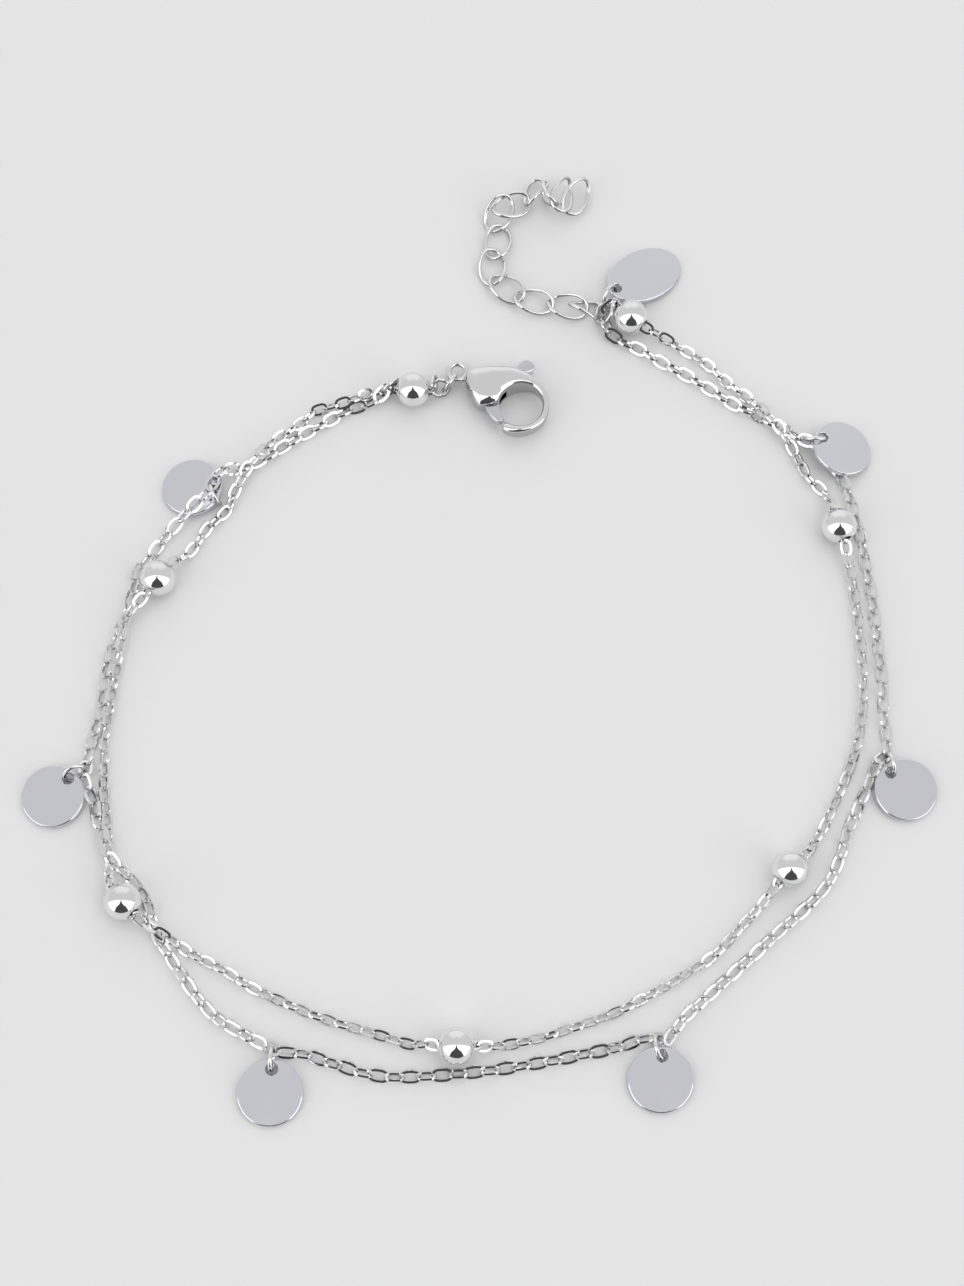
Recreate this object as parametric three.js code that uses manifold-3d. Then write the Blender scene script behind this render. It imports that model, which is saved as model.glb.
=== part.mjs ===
import * as THREE from "three";
import { mergeVertices } from "three/addons/utils/BufferGeometryUtils.js";
import Module from "manifold-3d";

const wasm = await Module();
wasm.setup();

// A chain anklet of polished steel, lying open on a flat surface. Lengths are in millimetres and
// angles in degrees: +X to the right of the loop, +Y towards the clasp, +Z up, the surface at z = 0.
// Places are measured from the middle of the loop as it was laid out; this shift puts the origin
// under the middle of the whole anklet.
const LAYOUT_SHIFT = new THREE.Vector3(0.25, -2.4, 0);

// The two strands: each stretch between whole links is a plain round stand-in for its fine links.
const STRAND = { thickness: 0.7, sides: 8, stepLength: 2.0, restHeight: 0.6 };
const STRAND_LINK = { length: 1.9, width: 1.4, wire: 0.28, sides: 12, wireSides: 5 };
const JUMP_RING = { diameter: 2.4, wire: 0.36, sides: 16, wireSides: 6 };
const EXTENDER_LINK = { length: 4.4, width: 3.0, wire: 0.36, sides: 16, wireSides: 6, twist: 0.3 };

const BEAD = { diameter: 3.5, bore: 1.3, sides: 16, arcSteps: 8, straight: 1.7 };
const DISC = { length: 6.0, width: 6.0, thickness: 0.5, hole: 1.0, holeAt: 2.15, sides: 32, holeSides: 12 };
const TAG = { length: 8.3, width: 5.7, thickness: 0.5, hole: 1.0, holeAt: 3.35, sides: 32, holeSides: 12 };
const PLATE_LIFT = 0.02;

const STEEL = { color: 0xd5d6d9, roughness: 0.12, metalness: 1 };
const PLATE_STEEL = { color: 0xc9cad0, roughness: 0.08, metalness: 1 };

// Beads in order from the clasp: centre, height and the way the strand runs through the bore.
const BEADS = [
  { x: -6.9, y: 26.4, z: 1.75, yaw: 174 },
  { x: -31.5, y: 6.1, z: 1.75, yaw: 232 },
  { x: -33.3, y: -26.1, z: 1.75, yaw: 312 },
  { x: -2.3, y: -39.5, z: 1.75, yaw: 0 },
  { x: 28.7, y: -23.0, z: 1.75, yaw: 46 },
  { x: 35.0, y: 11.6, z: 1.75, yaw: 110 },
  { x: 15.1, y: 34.5, z: 1.75, yaw: 142 },
];

// Small discs in order from the clasp: centre, where the hole lies, the tilt and its high side.
const DISCS = [
  { x: -28.7, y: 16.2, hole: -12, tilt: 6, high: -12 },
  { x: -40.55, y: -15.65, hole: 50, tilt: 5.5, high: 50 },
  { x: -19.2, y: -43.6, hole: 87, tilt: 5.5, high: 87 },
  { x: 16.2, y: -42.4, hole: 84.5, tilt: 5.5, high: 84.5 },
  { x: 40.1, y: -15.0, hole: 131, tilt: 5.5, high: 131 },
  { x: 35.8, y: 20.2, hole: 153, tilt: 15, high: 205 },
];

const END_TAG = { x: 16.6, y: 39.85, hole: 212, tilt: 5.5, high: 212 };

// Each small disc's jump ring: yaw turns the ring's own diameter, lean is 90 for a standing ring.
const DISC_RINGS = [
  { x: -26.32, y: 15.1, z: 1.3, yaw: 114, lean: 77 },
  { x: -38.55, y: -13.56, z: 1.22, yaw: 25, lean: 71 },
  { x: -19.1, y: -40.63, z: 1.24, yaw: 88, lean: 87 },
  { x: 16.12, y: -39.55, z: 1.2, yaw: 102, lean: 68 },
  { x: 38.62, y: -12.62, z: 1.23, yaw: -75, lean: 81 },
  { x: 33.12, y: 21.12, z: 1.38, yaw: -179, lean: 68 },
];

// The rings that gather the strands: two by the clasp, one where the strands part, two by the tag.
const JOINING_RINGS = [
  { name: "clasp_ring", diameter: 2.4, x: -3.24, y: 27.37, z: 1.32, yaw: -125, lean: 73.5 },
  { name: "last_ring", diameter: 2.2, x: -4.18, y: 26.95, z: 0.97, yaw: 10, lean: 57 },
  { name: "join_ring", diameter: 2.3, x: -9.24, y: 26.98, z: 1.5, yaw: -136, lean: 76 },
  { name: "end_ring", diameter: 2.7, x: 12.42, y: 35.4, z: 1.08, yaw: -89, lean: 48 },
  { name: "tag_ring", diameter: 2.6, x: 13.02, y: 37.1, z: 1.25, yaw: 60.5, lean: 71 },
];

// Extender links from the end ring outwards.
const EXTENDER = [
  { x: 10.79, y: 35.81, z: 1.09, yaw: 179, pitch: -25, roll: 33 },
  { x: 8.75, y: 36.4, z: 0.65, yaw: 171, pitch: -1, roll: -2 },
  { x: 5.3, y: 36.95, z: 0.65, yaw: 166, pitch: 0, roll: 0 },
  { x: 2.55, y: 38.45, z: 0.65, yaw: 143, pitch: 1, roll: -2 },
  { x: 1.05, y: 40.9, z: 0.6, yaw: 92, pitch: -2, roll: -2 },
  { x: 1.65, y: 43.8, z: 0.6, yaw: 82, pitch: 3, roll: -2 },
  { x: 1.77, y: 46.97, z: 0.93, yaw: 65, pitch: -17, roll: 7 },
  { x: 3.06, y: 47.79, z: 1.09, yaw: 19, pitch: 1.5, roll: 3 },
  { x: 5.51, y: 49.28, z: 1.44, yaw: 70.5, pitch: 17.5, roll: -41.5 },
  { x: 6.81, y: 48.68, z: 1.88, yaw: 107.5, pitch: 42.5, roll: 78.5 },
  { x: 8.41, y: 48.59, z: 1.89, yaw: 72, pitch: 7.5, roll: 44.5 },
  { x: 9.81, y: 48.67, z: 1.43, yaw: 60.5, pitch: -11.5, roll: 37 },
];

// Whole links of the bead strand: at the clasp, at the joining ring and at the end ring.
const BEAD_STRAND_LINKS = [
  { x: -4.78, y: 27.13, z: 1.56, yaw: 80, pitch: 17.5, roll: 72.5 },
  { x: -9.48, y: 26.9, z: 0.83, yaw: 25.5, pitch: -21, roll: 26 },
  { x: 12.9, y: 35.68, z: 1.77, yaw: 33, pitch: 153, roll: 136 },
];

// The bead strand's runs between those links, as places [x, y] at rest or [x, y, z], and beads.
const BEAD_STRAND_RUNS = [
  [[-4.91, 26.39, 1.8], BEADS[0], [-9.0, 26.7, 1.65], [-8.88, 27.2, 1.1]],
  [
    [-10.14, 26.59, 0.55],
    [-11.0, 26.55, 0.42],
    [-11.8, 26.3, 0.8],
    [-13.3, 25.4, 1.3],
    [-15.0, 25.0, 0.9],
    [-16.7, 24.6],
    [-18.5, 23.0],
    [-20.6, 21.4, 0.7],
    [-21.9, 19.9, 1.2],
    [-23.1, 18.5, 1.35],
    [-23.9, 16.9, 1.1],
    [-24.7, 15.4],
    [-25.1, 14.0],
    [-26.2, 12.8],
    [-27.3, 11.6],
    [-28.0, 10.3],
    [-29.0, 9.0, 0.8],
    [-30.0, 7.9, 1.5],
    BEADS[1],
    [-33.3, 3.8, 1.6],
    [-34.0, 3.0, 1.4],
    [-34.6, 2.0, 1.4],
    [-34.8, 0.1, 1.1],
    [-35.1, -2.0],
    [-35.5, -5.0],
    [-35.7, -7.0],
    [-36.0, -10.1],
    [-35.9, -12.1],
    [-35.8, -15.0],
    [-35.5, -16.8],
    [-35.3, -18.5, 0.55],
    [-35.1, -19.9, 0.45],
    [-34.9, -22.0, 0.45],
    [-34.8, -23.5, 1.1],
    BEADS[2],
    [-31.3, -27.9, 1.55],
    [-30.1, -28.7, 1.4],
    [-29.1, -29.3, 1.1],
    [-28.1, -29.9],
    [-26.3, -31.0],
    [-23.7, -32.3],
    [-21.3, -33.8],
    [-18.1, -35.3],
    [-15.5, -36.4],
    [-12.5, -37.4],
    [-9.3, -38.3],
    [-6.6, -39.1],
    [-4.9, -39.2, 1.2],
    BEADS[3],
    [0.3, -39.4, 1.2],
    [2.0, -39.2],
    [5.5, -38.5],
    [8.0, -37.7],
    [10.4, -36.9],
    [12.7, -36.0],
    [15.1, -34.7],
    [17.3, -33.5],
    [19.4, -32.2],
    [21.5, -30.8],
    [23.5, -28.7],
    [25.9, -26.2, 0.8],
    BEADS[4],
    [30.5, -21.2, 1.3],
    [31.6, -19.5],
    [32.9, -17.2],
    [34.4, -14.0],
    [35.8, -10.3],
    [36.5, -6.6],
    [36.7, -3.0],
    [36.6, 0.5],
    [36.3, 5.1],
    [35.9, 7.8, 0.9],
    BEADS[5],
    [34.2, 14.5, 1.1],
    [33.9, 15.7],
    [32.4, 17.4],
    [31.5, 19.4],
    [30.7, 21.0, 0.8],
    [30.2, 21.8, 1.1],
    [29.8, 22.4, 1.3],
    [29.1, 23.3, 1.35],
    [28.1, 24.5, 1.1],
    [27.1, 25.8],
    [24.8, 27.8],
    [22.6, 30.0],
    [20.1, 31.7],
    [17.8, 33.0, 1.1],
    BEADS[6],
    [13.6, 36.1, 2.2],
  ],
];

// Whole links of the disc strand: at the joining ring, at each disc's ring and at the end ring.
const DISC_STRAND_LINKS = [
  { x: -10.12, y: 26.21, z: 1.0, yaw: 44.5, pitch: -8.5, roll: 23.5 },
  { x: -26.63, y: 16.36, z: 1.29, yaw: 246.5, pitch: 0, roll: 4 },
  { x: -37.64, y: -12.98, z: 0.76, yaw: 89.5, pitch: 19.5, roll: 13.5 },
  { x: -19.12, y: -39.55, z: 0.94, yaw: -24.5, pitch: 16, roll: -7.5 },
  { x: 16.15, y: -38.69, z: 0.72, yaw: -21.5, pitch: -26.5, roll: -32.5 },
  { x: 38.08, y: -11.92, z: 0.77, yaw: 39.5, pitch: 17.5, roll: -20 },
  { x: 32.36, y: 21.18, z: 0.87, yaw: 160, pitch: 0, roll: -17.5 },
  { x: 12.66, y: 33.94, z: 1.11, yaw: 106.5, pitch: -9.5, roll: 38.5 },
];

// The disc strand's runs between those links.
const DISC_STRAND_RUNS = [
  [
    [-10.67, 25.6, 0.92],
    [-12.1, 25.1, 0.55],
    [-13.3, 24.8, 0.5],
    [-16.0, 23.1],
    [-17.7, 22.1],
    [-19.7, 20.8, 0.5],
    [-21.6, 19.5, 0.45],
    [-22.9, 18.8, 0.45],
    [-24.3, 18.1, 0.7],
    [-25.4, 17.9, 1.55],
    [-26.32, 17.08, 1.62],
  ],
  [
    [-26.94, 15.64, 1.4],
    [-27.8, 14.7, 1.4],
    [-28.7, 13.7, 1.42],
    [-29.6, 12.7, 1.2],
    [-31.1, 11.0],
    [-33.0, 8.2],
    [-33.7, 7.2],
    [-34.0, 5.3, 0.5],
    [-34.5, 3.2, 0.45],
    [-35.5, 0.1, 0.5],
    [-36.1, -2.0],
    [-36.4, -5.0],
    [-36.6, -7.0],
    [-37.0, -9.1],
    [-37.64, -12.2, 0.5],
  ],
  [
    [-37.64, -13.72, 1.0],
    [-37.3, -14.9, 0.7],
    [-36.6, -16.4],
    [-36.3, -17.8, 0.8],
    [-35.7, -19.2, 1.25],
    [-35.1, -20.9, 1.35],
    [-34.5, -22.0, 1.25],
    [-33.7, -22.8, 0.9],
    [-32.6, -23.9],
    [-31.4, -25.4],
    [-30.8, -26.9, 0.5],
    [-30.3, -28.3, 0.45],
    [-29.9, -29.4, 0.5],
    [-29.2, -30.4],
    [-28.3, -31.8],
    [-26.2, -34.7],
    [-24.2, -36.8],
    [-22.3, -37.9],
    [-20.9, -38.7, 0.9],
    [-19.81, -39.24, 1.16],
  ],
  [
    [-18.43, -39.86, 0.72],
    [-16.5, -40.0],
    [-13.1, -41.0],
    [-10.5, -41.8],
    [-7.7, -42.1],
    [-4.9, -42.0],
    [-2.1, -41.8],
    [0.7, -41.5],
    [3.5, -41.1],
    [6.4, -40.6],
    [9.3, -40.0],
    [11.9, -39.5],
    [14.2, -38.8, 0.5],
    [15.5, -38.43, 0.4],
  ],
  [
    [16.8, -38.95, 1.07],
    [17.6, -37.9, 0.7],
    [18.4, -36.8],
    [20.2, -35.2],
    [22.3, -33.3],
    [24.8, -31.1],
    [27.7, -28.5],
    [29.9, -26.6],
    [32.1, -24.3],
    [33.4, -21.9],
    [34.4, -19.1],
    [35.7, -16.3],
    [36.8, -14.0, 0.8],
    [37.5, -12.4, 1.0],
  ],
  [
    [38.66, -11.44, 0.55],
    [38.6, -9.1],
    [38.5, -7.0],
    [38.6, -4.5],
    [38.5, -2.0],
    [38.3, 1.2],
    [38.0, 5.3],
    [37.6, 8.2],
    [37.3, 10.9],
    [36.7, 13.8],
    [36.0, 16.5, 0.5],
    [35.2, 17.9, 0.45],
    [34.2, 19.3, 0.5],
    [33.1, 20.91, 0.85],
  ],
  [
    [31.62, 21.45, 0.87],
    [31.0, 22.1],
    [30.1, 22.7, 0.45],
    [29.1, 23.3, 0.45],
    [27.1, 24.4],
    [25.4, 25.3],
    [23.0, 27.0],
    [20.5, 28.7],
    [18.1, 30.1],
    [15.8, 31.6],
    [14.3, 32.3],
    [12.88, 33.2, 0.95],
  ],
];

// The lobster clasp: a hook drawn in rows about the middle of its opening, from its tip round to
// the root of the gate. Each row is an angle, the inner and outer radius, half the thickness, and
// how square the section is along its inner lip.
const CLASP = { x: 3.8, y: 24.7, z: 1.4, sides: 12, squareness: 2.8 };
const CLASP_ROWS = [
  { angle: 231, inner: 2.45, outer: 2.9, half: 0.45, lip: 2.4 },
  { angle: 238, inner: 2.3, outer: 3.25, half: 0.65, lip: 2.4 },
  { angle: 252, inner: 2.3, outer: 3.3, half: 0.75, lip: 2.4 },
  { angle: 270, inner: 2.3, outer: 3.2, half: 0.8, lip: 2.4 },
  { angle: 295, inner: 2.35, outer: 3.1, half: 0.8, lip: 2.4 },
  { angle: 320, inner: 2.3, outer: 3.1, half: 0.8, lip: 2.4 },
  { angle: 350, inner: 2.25, outer: 2.95, half: 0.8, lip: 2.6 },
  { angle: 380, inner: 2.25, outer: 3.0, half: 0.85, lip: 3.0 },
  { angle: 400, inner: 2.2, outer: 3.05, half: 0.95, lip: 3.5 },
  { angle: 418, inner: 2.15, outer: 3.2, half: 1.05, lip: 4.0 },
  { angle: 438, inner: 2.05, outer: 3.5, half: 1.2, lip: 5.0 },
  { angle: 460, inner: 1.95, outer: 4.15, half: 1.35, lip: 5.0 },
  { angle: 478, inner: 1.9, outer: 4.75, half: 1.4, lip: 5.0 },
  { angle: 493, inner: 1.9, outer: 5.65, half: 1.4, lip: 5.0 },
  { angle: 505, inner: 1.95, outer: 6.45, half: 1.4, lip: 5.0 },
  { angle: 516, inner: 2.0, outer: 6.0, half: 1.4, lip: 5.0 },
  { angle: 530, inner: 2.05, outer: 4.95, half: 1.3, lip: 4.0 },
  { angle: 538, inner: 2.15, outer: 4.5, half: 1.1, lip: 3.0 },
  { angle: 543, inner: 2.4, outer: 4.2, half: 0.75, lip: 2.4 },
];
const CLASP_EYE = { x: -2.45, y: 28.5, diameter: 2.35, wire: 0.55, sides: 20, wireSides: 8 };

// The sprung lever turns on a rivet: its gate closes the hook and its thumb tab stands outside.
const RIVET = { x: 1.0, y: 27.1, diameter: 0.6, height: 2.4, hole: 1.0, sides: 12 };
const LEVER = { thickness: 0.9, clearance: 0.15, sweep: [0, 10, 20, 30] };
const LEVER_OUTLINE = [
  [1.5, 22.75],
  [1.95, 22.8],
  [2.2, 23.15],
  [1.75, 24.5],
  [1.75, 26.0],
  [2.2, 27.25],
  [3.6, 27.85],
  [4.3, 28.15],
  [5.1, 28.45],
  [5.3, 29.0],
  [5.05, 29.5],
  [4.5, 29.7],
  [3.95, 29.5],
  [3.3, 28.7],
  [1.6, 27.95],
  [0.6, 27.95],
  [0.15, 27.3],
  [0.25, 26.3],
  [0.3, 24.4],
  [0.9, 23.4],
];

const UP = new THREE.Vector3(0, 0, 1);
const NO_TURN = new THREE.Quaternion();
const radians = THREE.MathUtils.degToRad;

const anklet = new THREE.Group();
anklet.position.copy(LAYOUT_SHIFT);

function addPiece(name, finish, geometry, place = { x: 0, y: 0, z: 0 }, turn = NO_TURN) {
  const mesh = new THREE.Mesh(geometry, new THREE.MeshStandardMaterial(finish));
  mesh.name = name;
  mesh.position.set(place.x, place.y, place.z);
  mesh.quaternion.copy(turn);
  anklet.add(mesh);
}

// Roll about X first, then pitch about Y, then yaw about Z.
function turned({ yaw = 0, pitch = 0, roll = 0 }) {
  return new THREE.Quaternion().setFromEuler(
    new THREE.Euler(radians(roll), radians(pitch), radians(yaw), "ZYX"),
  );
}

function toSolid(geometry, place = { x: 0, y: 0, z: 0 }, turn = NO_TURN) {
  const bare = geometry.clone();
  bare.deleteAttribute("normal");
  bare.deleteAttribute("uv");
  const shared = mergeVertices(bare);
  shared.applyQuaternion(turn);
  shared.translate(place.x, place.y, place.z);
  return new wasm.Manifold(
    new wasm.Mesh({
      numProp: 3,
      vertProperties: shared.getAttribute("position").array,
      triVerts: new Uint32Array(shared.index.array),
    }),
  );
}

function toGeometry(solid) {
  const mesh = solid.getMesh();
  const geometry = new THREE.BufferGeometry();
  geometry.setAttribute("position", new THREE.BufferAttribute(mesh.vertProperties, 3));
  geometry.setIndex(new THREE.BufferAttribute(mesh.triVerts, 1));
  return geometry;
}

// A closed loop of round wire lying about Z, longest along X. A twist lifts its corners in turn,
// as in a curb link, so that neighbouring links lie flat together.
function loopGeometry({ length, width, wire, sides, wireSides, twist = 0 }) {
  const halfLength = (length - wire) / 2;
  const halfWidth = (width - wire) / 2;
  const geometry = new THREE.TorusGeometry(halfLength, wire / 2, wireSides, sides);
  const points = geometry.getAttribute("position");
  for (let i = 0; i < points.count; i += 1) {
    const around = Math.atan2(points.getY(i), points.getX(i));
    const outwards = Math.hypot(points.getX(i), points.getY(i)) - halfLength;
    const upwards = points.getZ(i);
    const tangent = new THREE.Vector3(
      -halfLength * Math.sin(around),
      halfWidth * Math.cos(around),
      2 * twist * Math.cos(2 * around),
    ).normalize();
    const side = tangent.clone().cross(UP).normalize();
    const above = side.clone().cross(tangent);
    const middle = new THREE.Vector3(
      halfLength * Math.cos(around),
      halfWidth * Math.sin(around),
      twist * Math.sin(2 * around),
    );
    middle.addScaledVector(side, outwards).addScaledVector(above, upwards);
    points.setXYZ(i, middle.x, middle.y, middle.z);
  }
  return geometry;
}

function ringGeometry(diameter) {
  return loopGeometry({ ...JUMP_RING, length: diameter, width: diameter });
}

// A drilled ball, turned on a lathe: the outside from one mouth of the bore to the other, then
// straight back along the bore. The bore lies along X.
function beadGeometry() {
  const radius = BEAD.diameter / 2;
  const mouth = Math.asin(BEAD.bore / BEAD.diameter);
  const profile = [];
  for (let i = 0; i <= BEAD.arcSteps; i += 1) {
    const fromPole = THREE.MathUtils.lerp(Math.PI - mouth, mouth, i / BEAD.arcSteps);
    profile.push(new THREE.Vector2(radius * Math.sin(fromPole), radius * Math.cos(fromPole)));
  }
  profile.push(profile[0].clone());
  return new THREE.LatheGeometry(profile, BEAD.sides).rotateZ(-Math.PI / 2);
}

// A flat oval plate with a round hole near its +X end.
function plateGeometry({ length, width, thickness, hole, holeAt, sides, holeSides }) {
  const outline = new THREE.Shape().absellipse(0, 0, length / 2, width / 2, 0, 2 * Math.PI);
  const rim = [];
  for (let i = 0; i < holeSides; i += 1) {
    const angle = (i / holeSides) * 2 * Math.PI;
    rim.push(new THREE.Vector2(holeAt + (hole / 2) * Math.cos(angle), (hole / 2) * Math.sin(angle)));
  }
  outline.holes.push(new THREE.Path().setFromPoints(rim));
  const geometry = new THREE.ExtrudeGeometry(outline, {
    depth: thickness,
    bevelEnabled: false,
    curveSegments: sides / 2,
  });
  return geometry.translate(0, 0, -thickness / 2);
}

// Lays a plate on the surface: tilted towards its high side, with its hole at the given angle.
function addPlate(name, sizes, { x, y, hole, tilt, high }) {
  const geometry = plateGeometry(sizes);
  const turn = turned({ yaw: high, pitch: -tilt }).multiply(turned({ yaw: hole - high }));
  const laid = geometry.clone().applyQuaternion(turn);
  laid.computeBoundingBox();
  addPiece(name, PLATE_STEEL, geometry, { x, y, z: PLATE_LIFT - laid.boundingBox.min.z }, turn);
}

// A path whose steps end exactly on the given stations.
class StationPath extends THREE.Curve {
  constructor(stations) {
    super();
    this.stations = stations;
  }

  getPoint(t, target = new THREE.Vector3()) {
    const along = t * (this.stations.length - 1);
    const first = Math.min(Math.floor(along), this.stations.length - 2);
    return target.lerpVectors(this.stations[first], this.stations[first + 1], along - first);
  }

  getUtoTmapping(u) {
    return u;
  }
}

function spacedAlong(places) {
  if (places.length < 2) {
    return places;
  }
  const curve = new THREE.CatmullRomCurve3(places, false, "centripetal");
  const steps = Math.max(1, Math.round(curve.getLength() / STRAND.stepLength));
  return curve.getSpacedPoints(steps);
}

// A run's stations lie an even step apart, with one straight step through each bead's bore.
function runStations(run) {
  const stations = [];
  let reach = [];
  for (const stop of run) {
    if (Array.isArray(stop)) {
      const [x, y, z = STRAND.restHeight] = stop;
      reach.push(new THREE.Vector3(x, y, z));
      continue;
    }
    const centre = new THREE.Vector3(stop.x, stop.y, stop.z);
    const half = new THREE.Vector3(BEAD.straight, 0, 0).applyQuaternion(turned(stop));
    reach.push(centre.clone().sub(half));
    stations.push(...spacedAlong(reach));
    reach = [centre.clone().add(half)];
  }
  return [...stations, ...spacedAlong(reach)];
}

function runGeometry(run) {
  const stations = runStations(run);
  const section = new THREE.Shape().absarc(0, 0, STRAND.thickness / 2, 0, 2 * Math.PI);
  return new THREE.ExtrudeGeometry(section, {
    steps: stations.length - 1,
    curveSegments: STRAND.sides / 2,
    extrudePath: new StationPath(stations),
  });
}

// One strand: its runs soldered to the whole links that hang in the rings.
function addStrand(name, links, runs) {
  const linkGeometry = loopGeometry(STRAND_LINK);
  let strand = toSolid(runGeometry(runs[0]));
  for (const run of runs.slice(1)) {
    strand = strand.add(toSolid(runGeometry(run)));
  }
  for (const link of links) {
    strand = strand.add(toSolid(linkGeometry, link, turned(link)));
  }
  addPiece(name, STEEL, toGeometry(strand));
}

// A closed bar bent about Z through the clasp's rows, with a rounded square section.
function claspHookGeometry() {
  const last = CLASP_ROWS.length - 1;
  const geometry = new THREE.CylinderGeometry(1, 1, 1, CLASP.sides, last);
  const points = geometry.getAttribute("position");
  const rounded = (value, squareness) => Math.sign(value) * Math.abs(value) ** (2 / squareness);
  for (let i = 0; i < points.count; i += 1) {
    const row = CLASP_ROWS[Math.round((points.getY(i) + 0.5) * last)];
    const squareness = points.getX(i) < 0 ? row.lip : CLASP.squareness;
    const middle = (row.inner + row.outer) / 2;
    const reach = (row.outer - row.inner) / 2;
    const radius = middle + rounded(points.getX(i), squareness) * reach;
    const angle = radians(row.angle);
    points.setXYZ(
      i,
      radius * Math.cos(angle),
      radius * Math.sin(angle),
      row.half * rounded(points.getZ(i), squareness),
    );
  }
  return geometry;
}

// The lever's outline about its rivet, as a slab lying midway in the clasp's thickness.
function leverGeometry(hole, clearance) {
  const outline = new THREE.Shape(
    LEVER_OUTLINE.map(([x, y]) => new THREE.Vector2(x - RIVET.x, y - RIVET.y)),
  );
  if (hole > 0) {
    outline.holes.push(new THREE.Path().absarc(0, 0, hole / 2, 0, 2 * Math.PI, true));
  }
  const geometry = new THREE.ExtrudeGeometry(outline, {
    depth: LEVER.thickness,
    bevelEnabled: clearance > 0,
    bevelSize: clearance,
    bevelThickness: clearance,
    bevelSegments: 1,
    curveSegments: RIVET.sides / 2,
  });
  return geometry.translate(0, 0, -LEVER.thickness / 2);
}

function addClasp() {
  const middle = { x: CLASP.x, y: CLASP.y, z: CLASP.z };
  const pivot = { x: RIVET.x, y: RIVET.y, z: CLASP.z };
  const eye = loopGeometry({ ...CLASP_EYE, length: CLASP_EYE.diameter, width: CLASP_EYE.diameter });
  const pin = new THREE.CylinderGeometry(RIVET.diameter / 2, RIVET.diameter / 2, RIVET.height, RIVET.sides);
  const slot = leverGeometry(0, LEVER.clearance);
  let body = toSolid(claspHookGeometry(), middle);
  for (const angle of LEVER.sweep) {
    body = body.subtract(toSolid(slot, pivot, turned({ yaw: angle })));
  }
  body = body.add(toSolid(pin.rotateX(Math.PI / 2), pivot));
  body = body.add(toSolid(eye, { x: CLASP_EYE.x, y: CLASP_EYE.y, z: CLASP.z }));
  addPiece("clasp_body", STEEL, toGeometry(body));
  addPiece("clasp_lever", STEEL, leverGeometry(RIVET.hole, 0), pivot);
}

addStrand("bead_strand", BEAD_STRAND_LINKS, BEAD_STRAND_RUNS);
addStrand("disc_strand", DISC_STRAND_LINKS, DISC_STRAND_RUNS);

BEADS.forEach((bead, i) => addPiece(`bead_${i + 1}`, STEEL, beadGeometry(), bead, turned(bead)));
DISCS.forEach((disc, i) => addPlate(`disc_${i + 1}`, DISC, disc));
DISC_RINGS.forEach((ring, i) => {
  const turn = turned({ yaw: ring.yaw, roll: ring.lean });
  addPiece(`disc_ring_${i + 1}`, STEEL, ringGeometry(JUMP_RING.diameter), ring, turn);
});

addPlate("end_tag", TAG, END_TAG);
for (const ring of JOINING_RINGS) {
  const turn = turned({ yaw: ring.yaw, roll: ring.lean });
  addPiece(ring.name, STEEL, ringGeometry(ring.diameter), ring, turn);
}

EXTENDER.forEach((link, i) => {
  const name = `extender_link_${String(i + 1).padStart(2, "0")}`;
  addPiece(name, STEEL, loopGeometry(EXTENDER_LINK), link, turned(link));
});

addClasp();

export default anklet;
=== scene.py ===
"""A double-strand chain anklet of polished steel, lying open on a pale floor.

The fine links, drilled beads, stamped discs, wire rings and sprung clasp are shaped in millimetres,
in the place where each one lies, and scaled to metres as they are finished.
"""

import logging
import math
import random
from collections.abc import Iterable
from dataclasses import dataclass, field
from enum import Enum
from functools import cached_property

import bmesh
import bpy
from mathutils import Euler, Matrix, Vector


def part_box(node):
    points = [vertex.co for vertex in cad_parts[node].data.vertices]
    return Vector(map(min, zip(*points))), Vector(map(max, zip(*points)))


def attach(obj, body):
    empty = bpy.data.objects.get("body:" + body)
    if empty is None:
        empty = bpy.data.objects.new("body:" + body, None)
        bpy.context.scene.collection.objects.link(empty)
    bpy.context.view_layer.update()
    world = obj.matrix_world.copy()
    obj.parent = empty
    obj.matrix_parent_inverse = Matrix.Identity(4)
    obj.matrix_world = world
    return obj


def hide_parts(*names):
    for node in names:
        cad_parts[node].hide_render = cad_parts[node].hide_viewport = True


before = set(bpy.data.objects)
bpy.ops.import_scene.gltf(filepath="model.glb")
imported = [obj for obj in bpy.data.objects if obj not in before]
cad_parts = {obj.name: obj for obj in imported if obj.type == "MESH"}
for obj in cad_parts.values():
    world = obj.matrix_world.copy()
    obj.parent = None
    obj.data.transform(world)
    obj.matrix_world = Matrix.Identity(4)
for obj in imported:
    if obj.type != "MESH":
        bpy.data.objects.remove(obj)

LOG = logging.getLogger("anklet")

MM = 0.001
UP = Vector((0.0, 0.0, 1.0))
MERGE_DISTANCE = 1e-4

# How upright a level face's normal stands, the angles in degrees past which two faces meet in a rim
# or a crease, and the faces across a rounded rim.
LEVEL = 0.999
RIM_ANGLE = 60
CREASE_ANGLE = 50
ROUNDING_FACES = 3

# Places are measured, in millimetres, from the middle of the loop as it was laid out. This shift
# puts the origin under the middle of the whole anklet.
LAYOUT_SHIFT = Vector((0.25, -2.4, 0.0))

# How high the middle of a lying strand runs, and how far it runs straight from a bead's middle.
REST_HEIGHT = 0.6
BEAD_REACH = 1.7

# Beads in order from the clasp: centre, height, and the way the strand runs through the bore.
BEADS = (
    {"x": -6.9, "y": 26.4, "z": 1.75, "yaw": 174},
    {"x": -31.5, "y": 6.1, "z": 1.75, "yaw": 232},
    {"x": -33.3, "y": -26.1, "z": 1.75, "yaw": 312},
    {"x": -2.3, "y": -39.5, "z": 1.75, "yaw": 0},
    {"x": 28.7, "y": -23.0, "z": 1.75, "yaw": 46},
    {"x": 35.0, "y": 11.6, "z": 1.75, "yaw": 110},
    {"x": 15.1, "y": 34.5, "z": 1.75, "yaw": 142},
)

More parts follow.
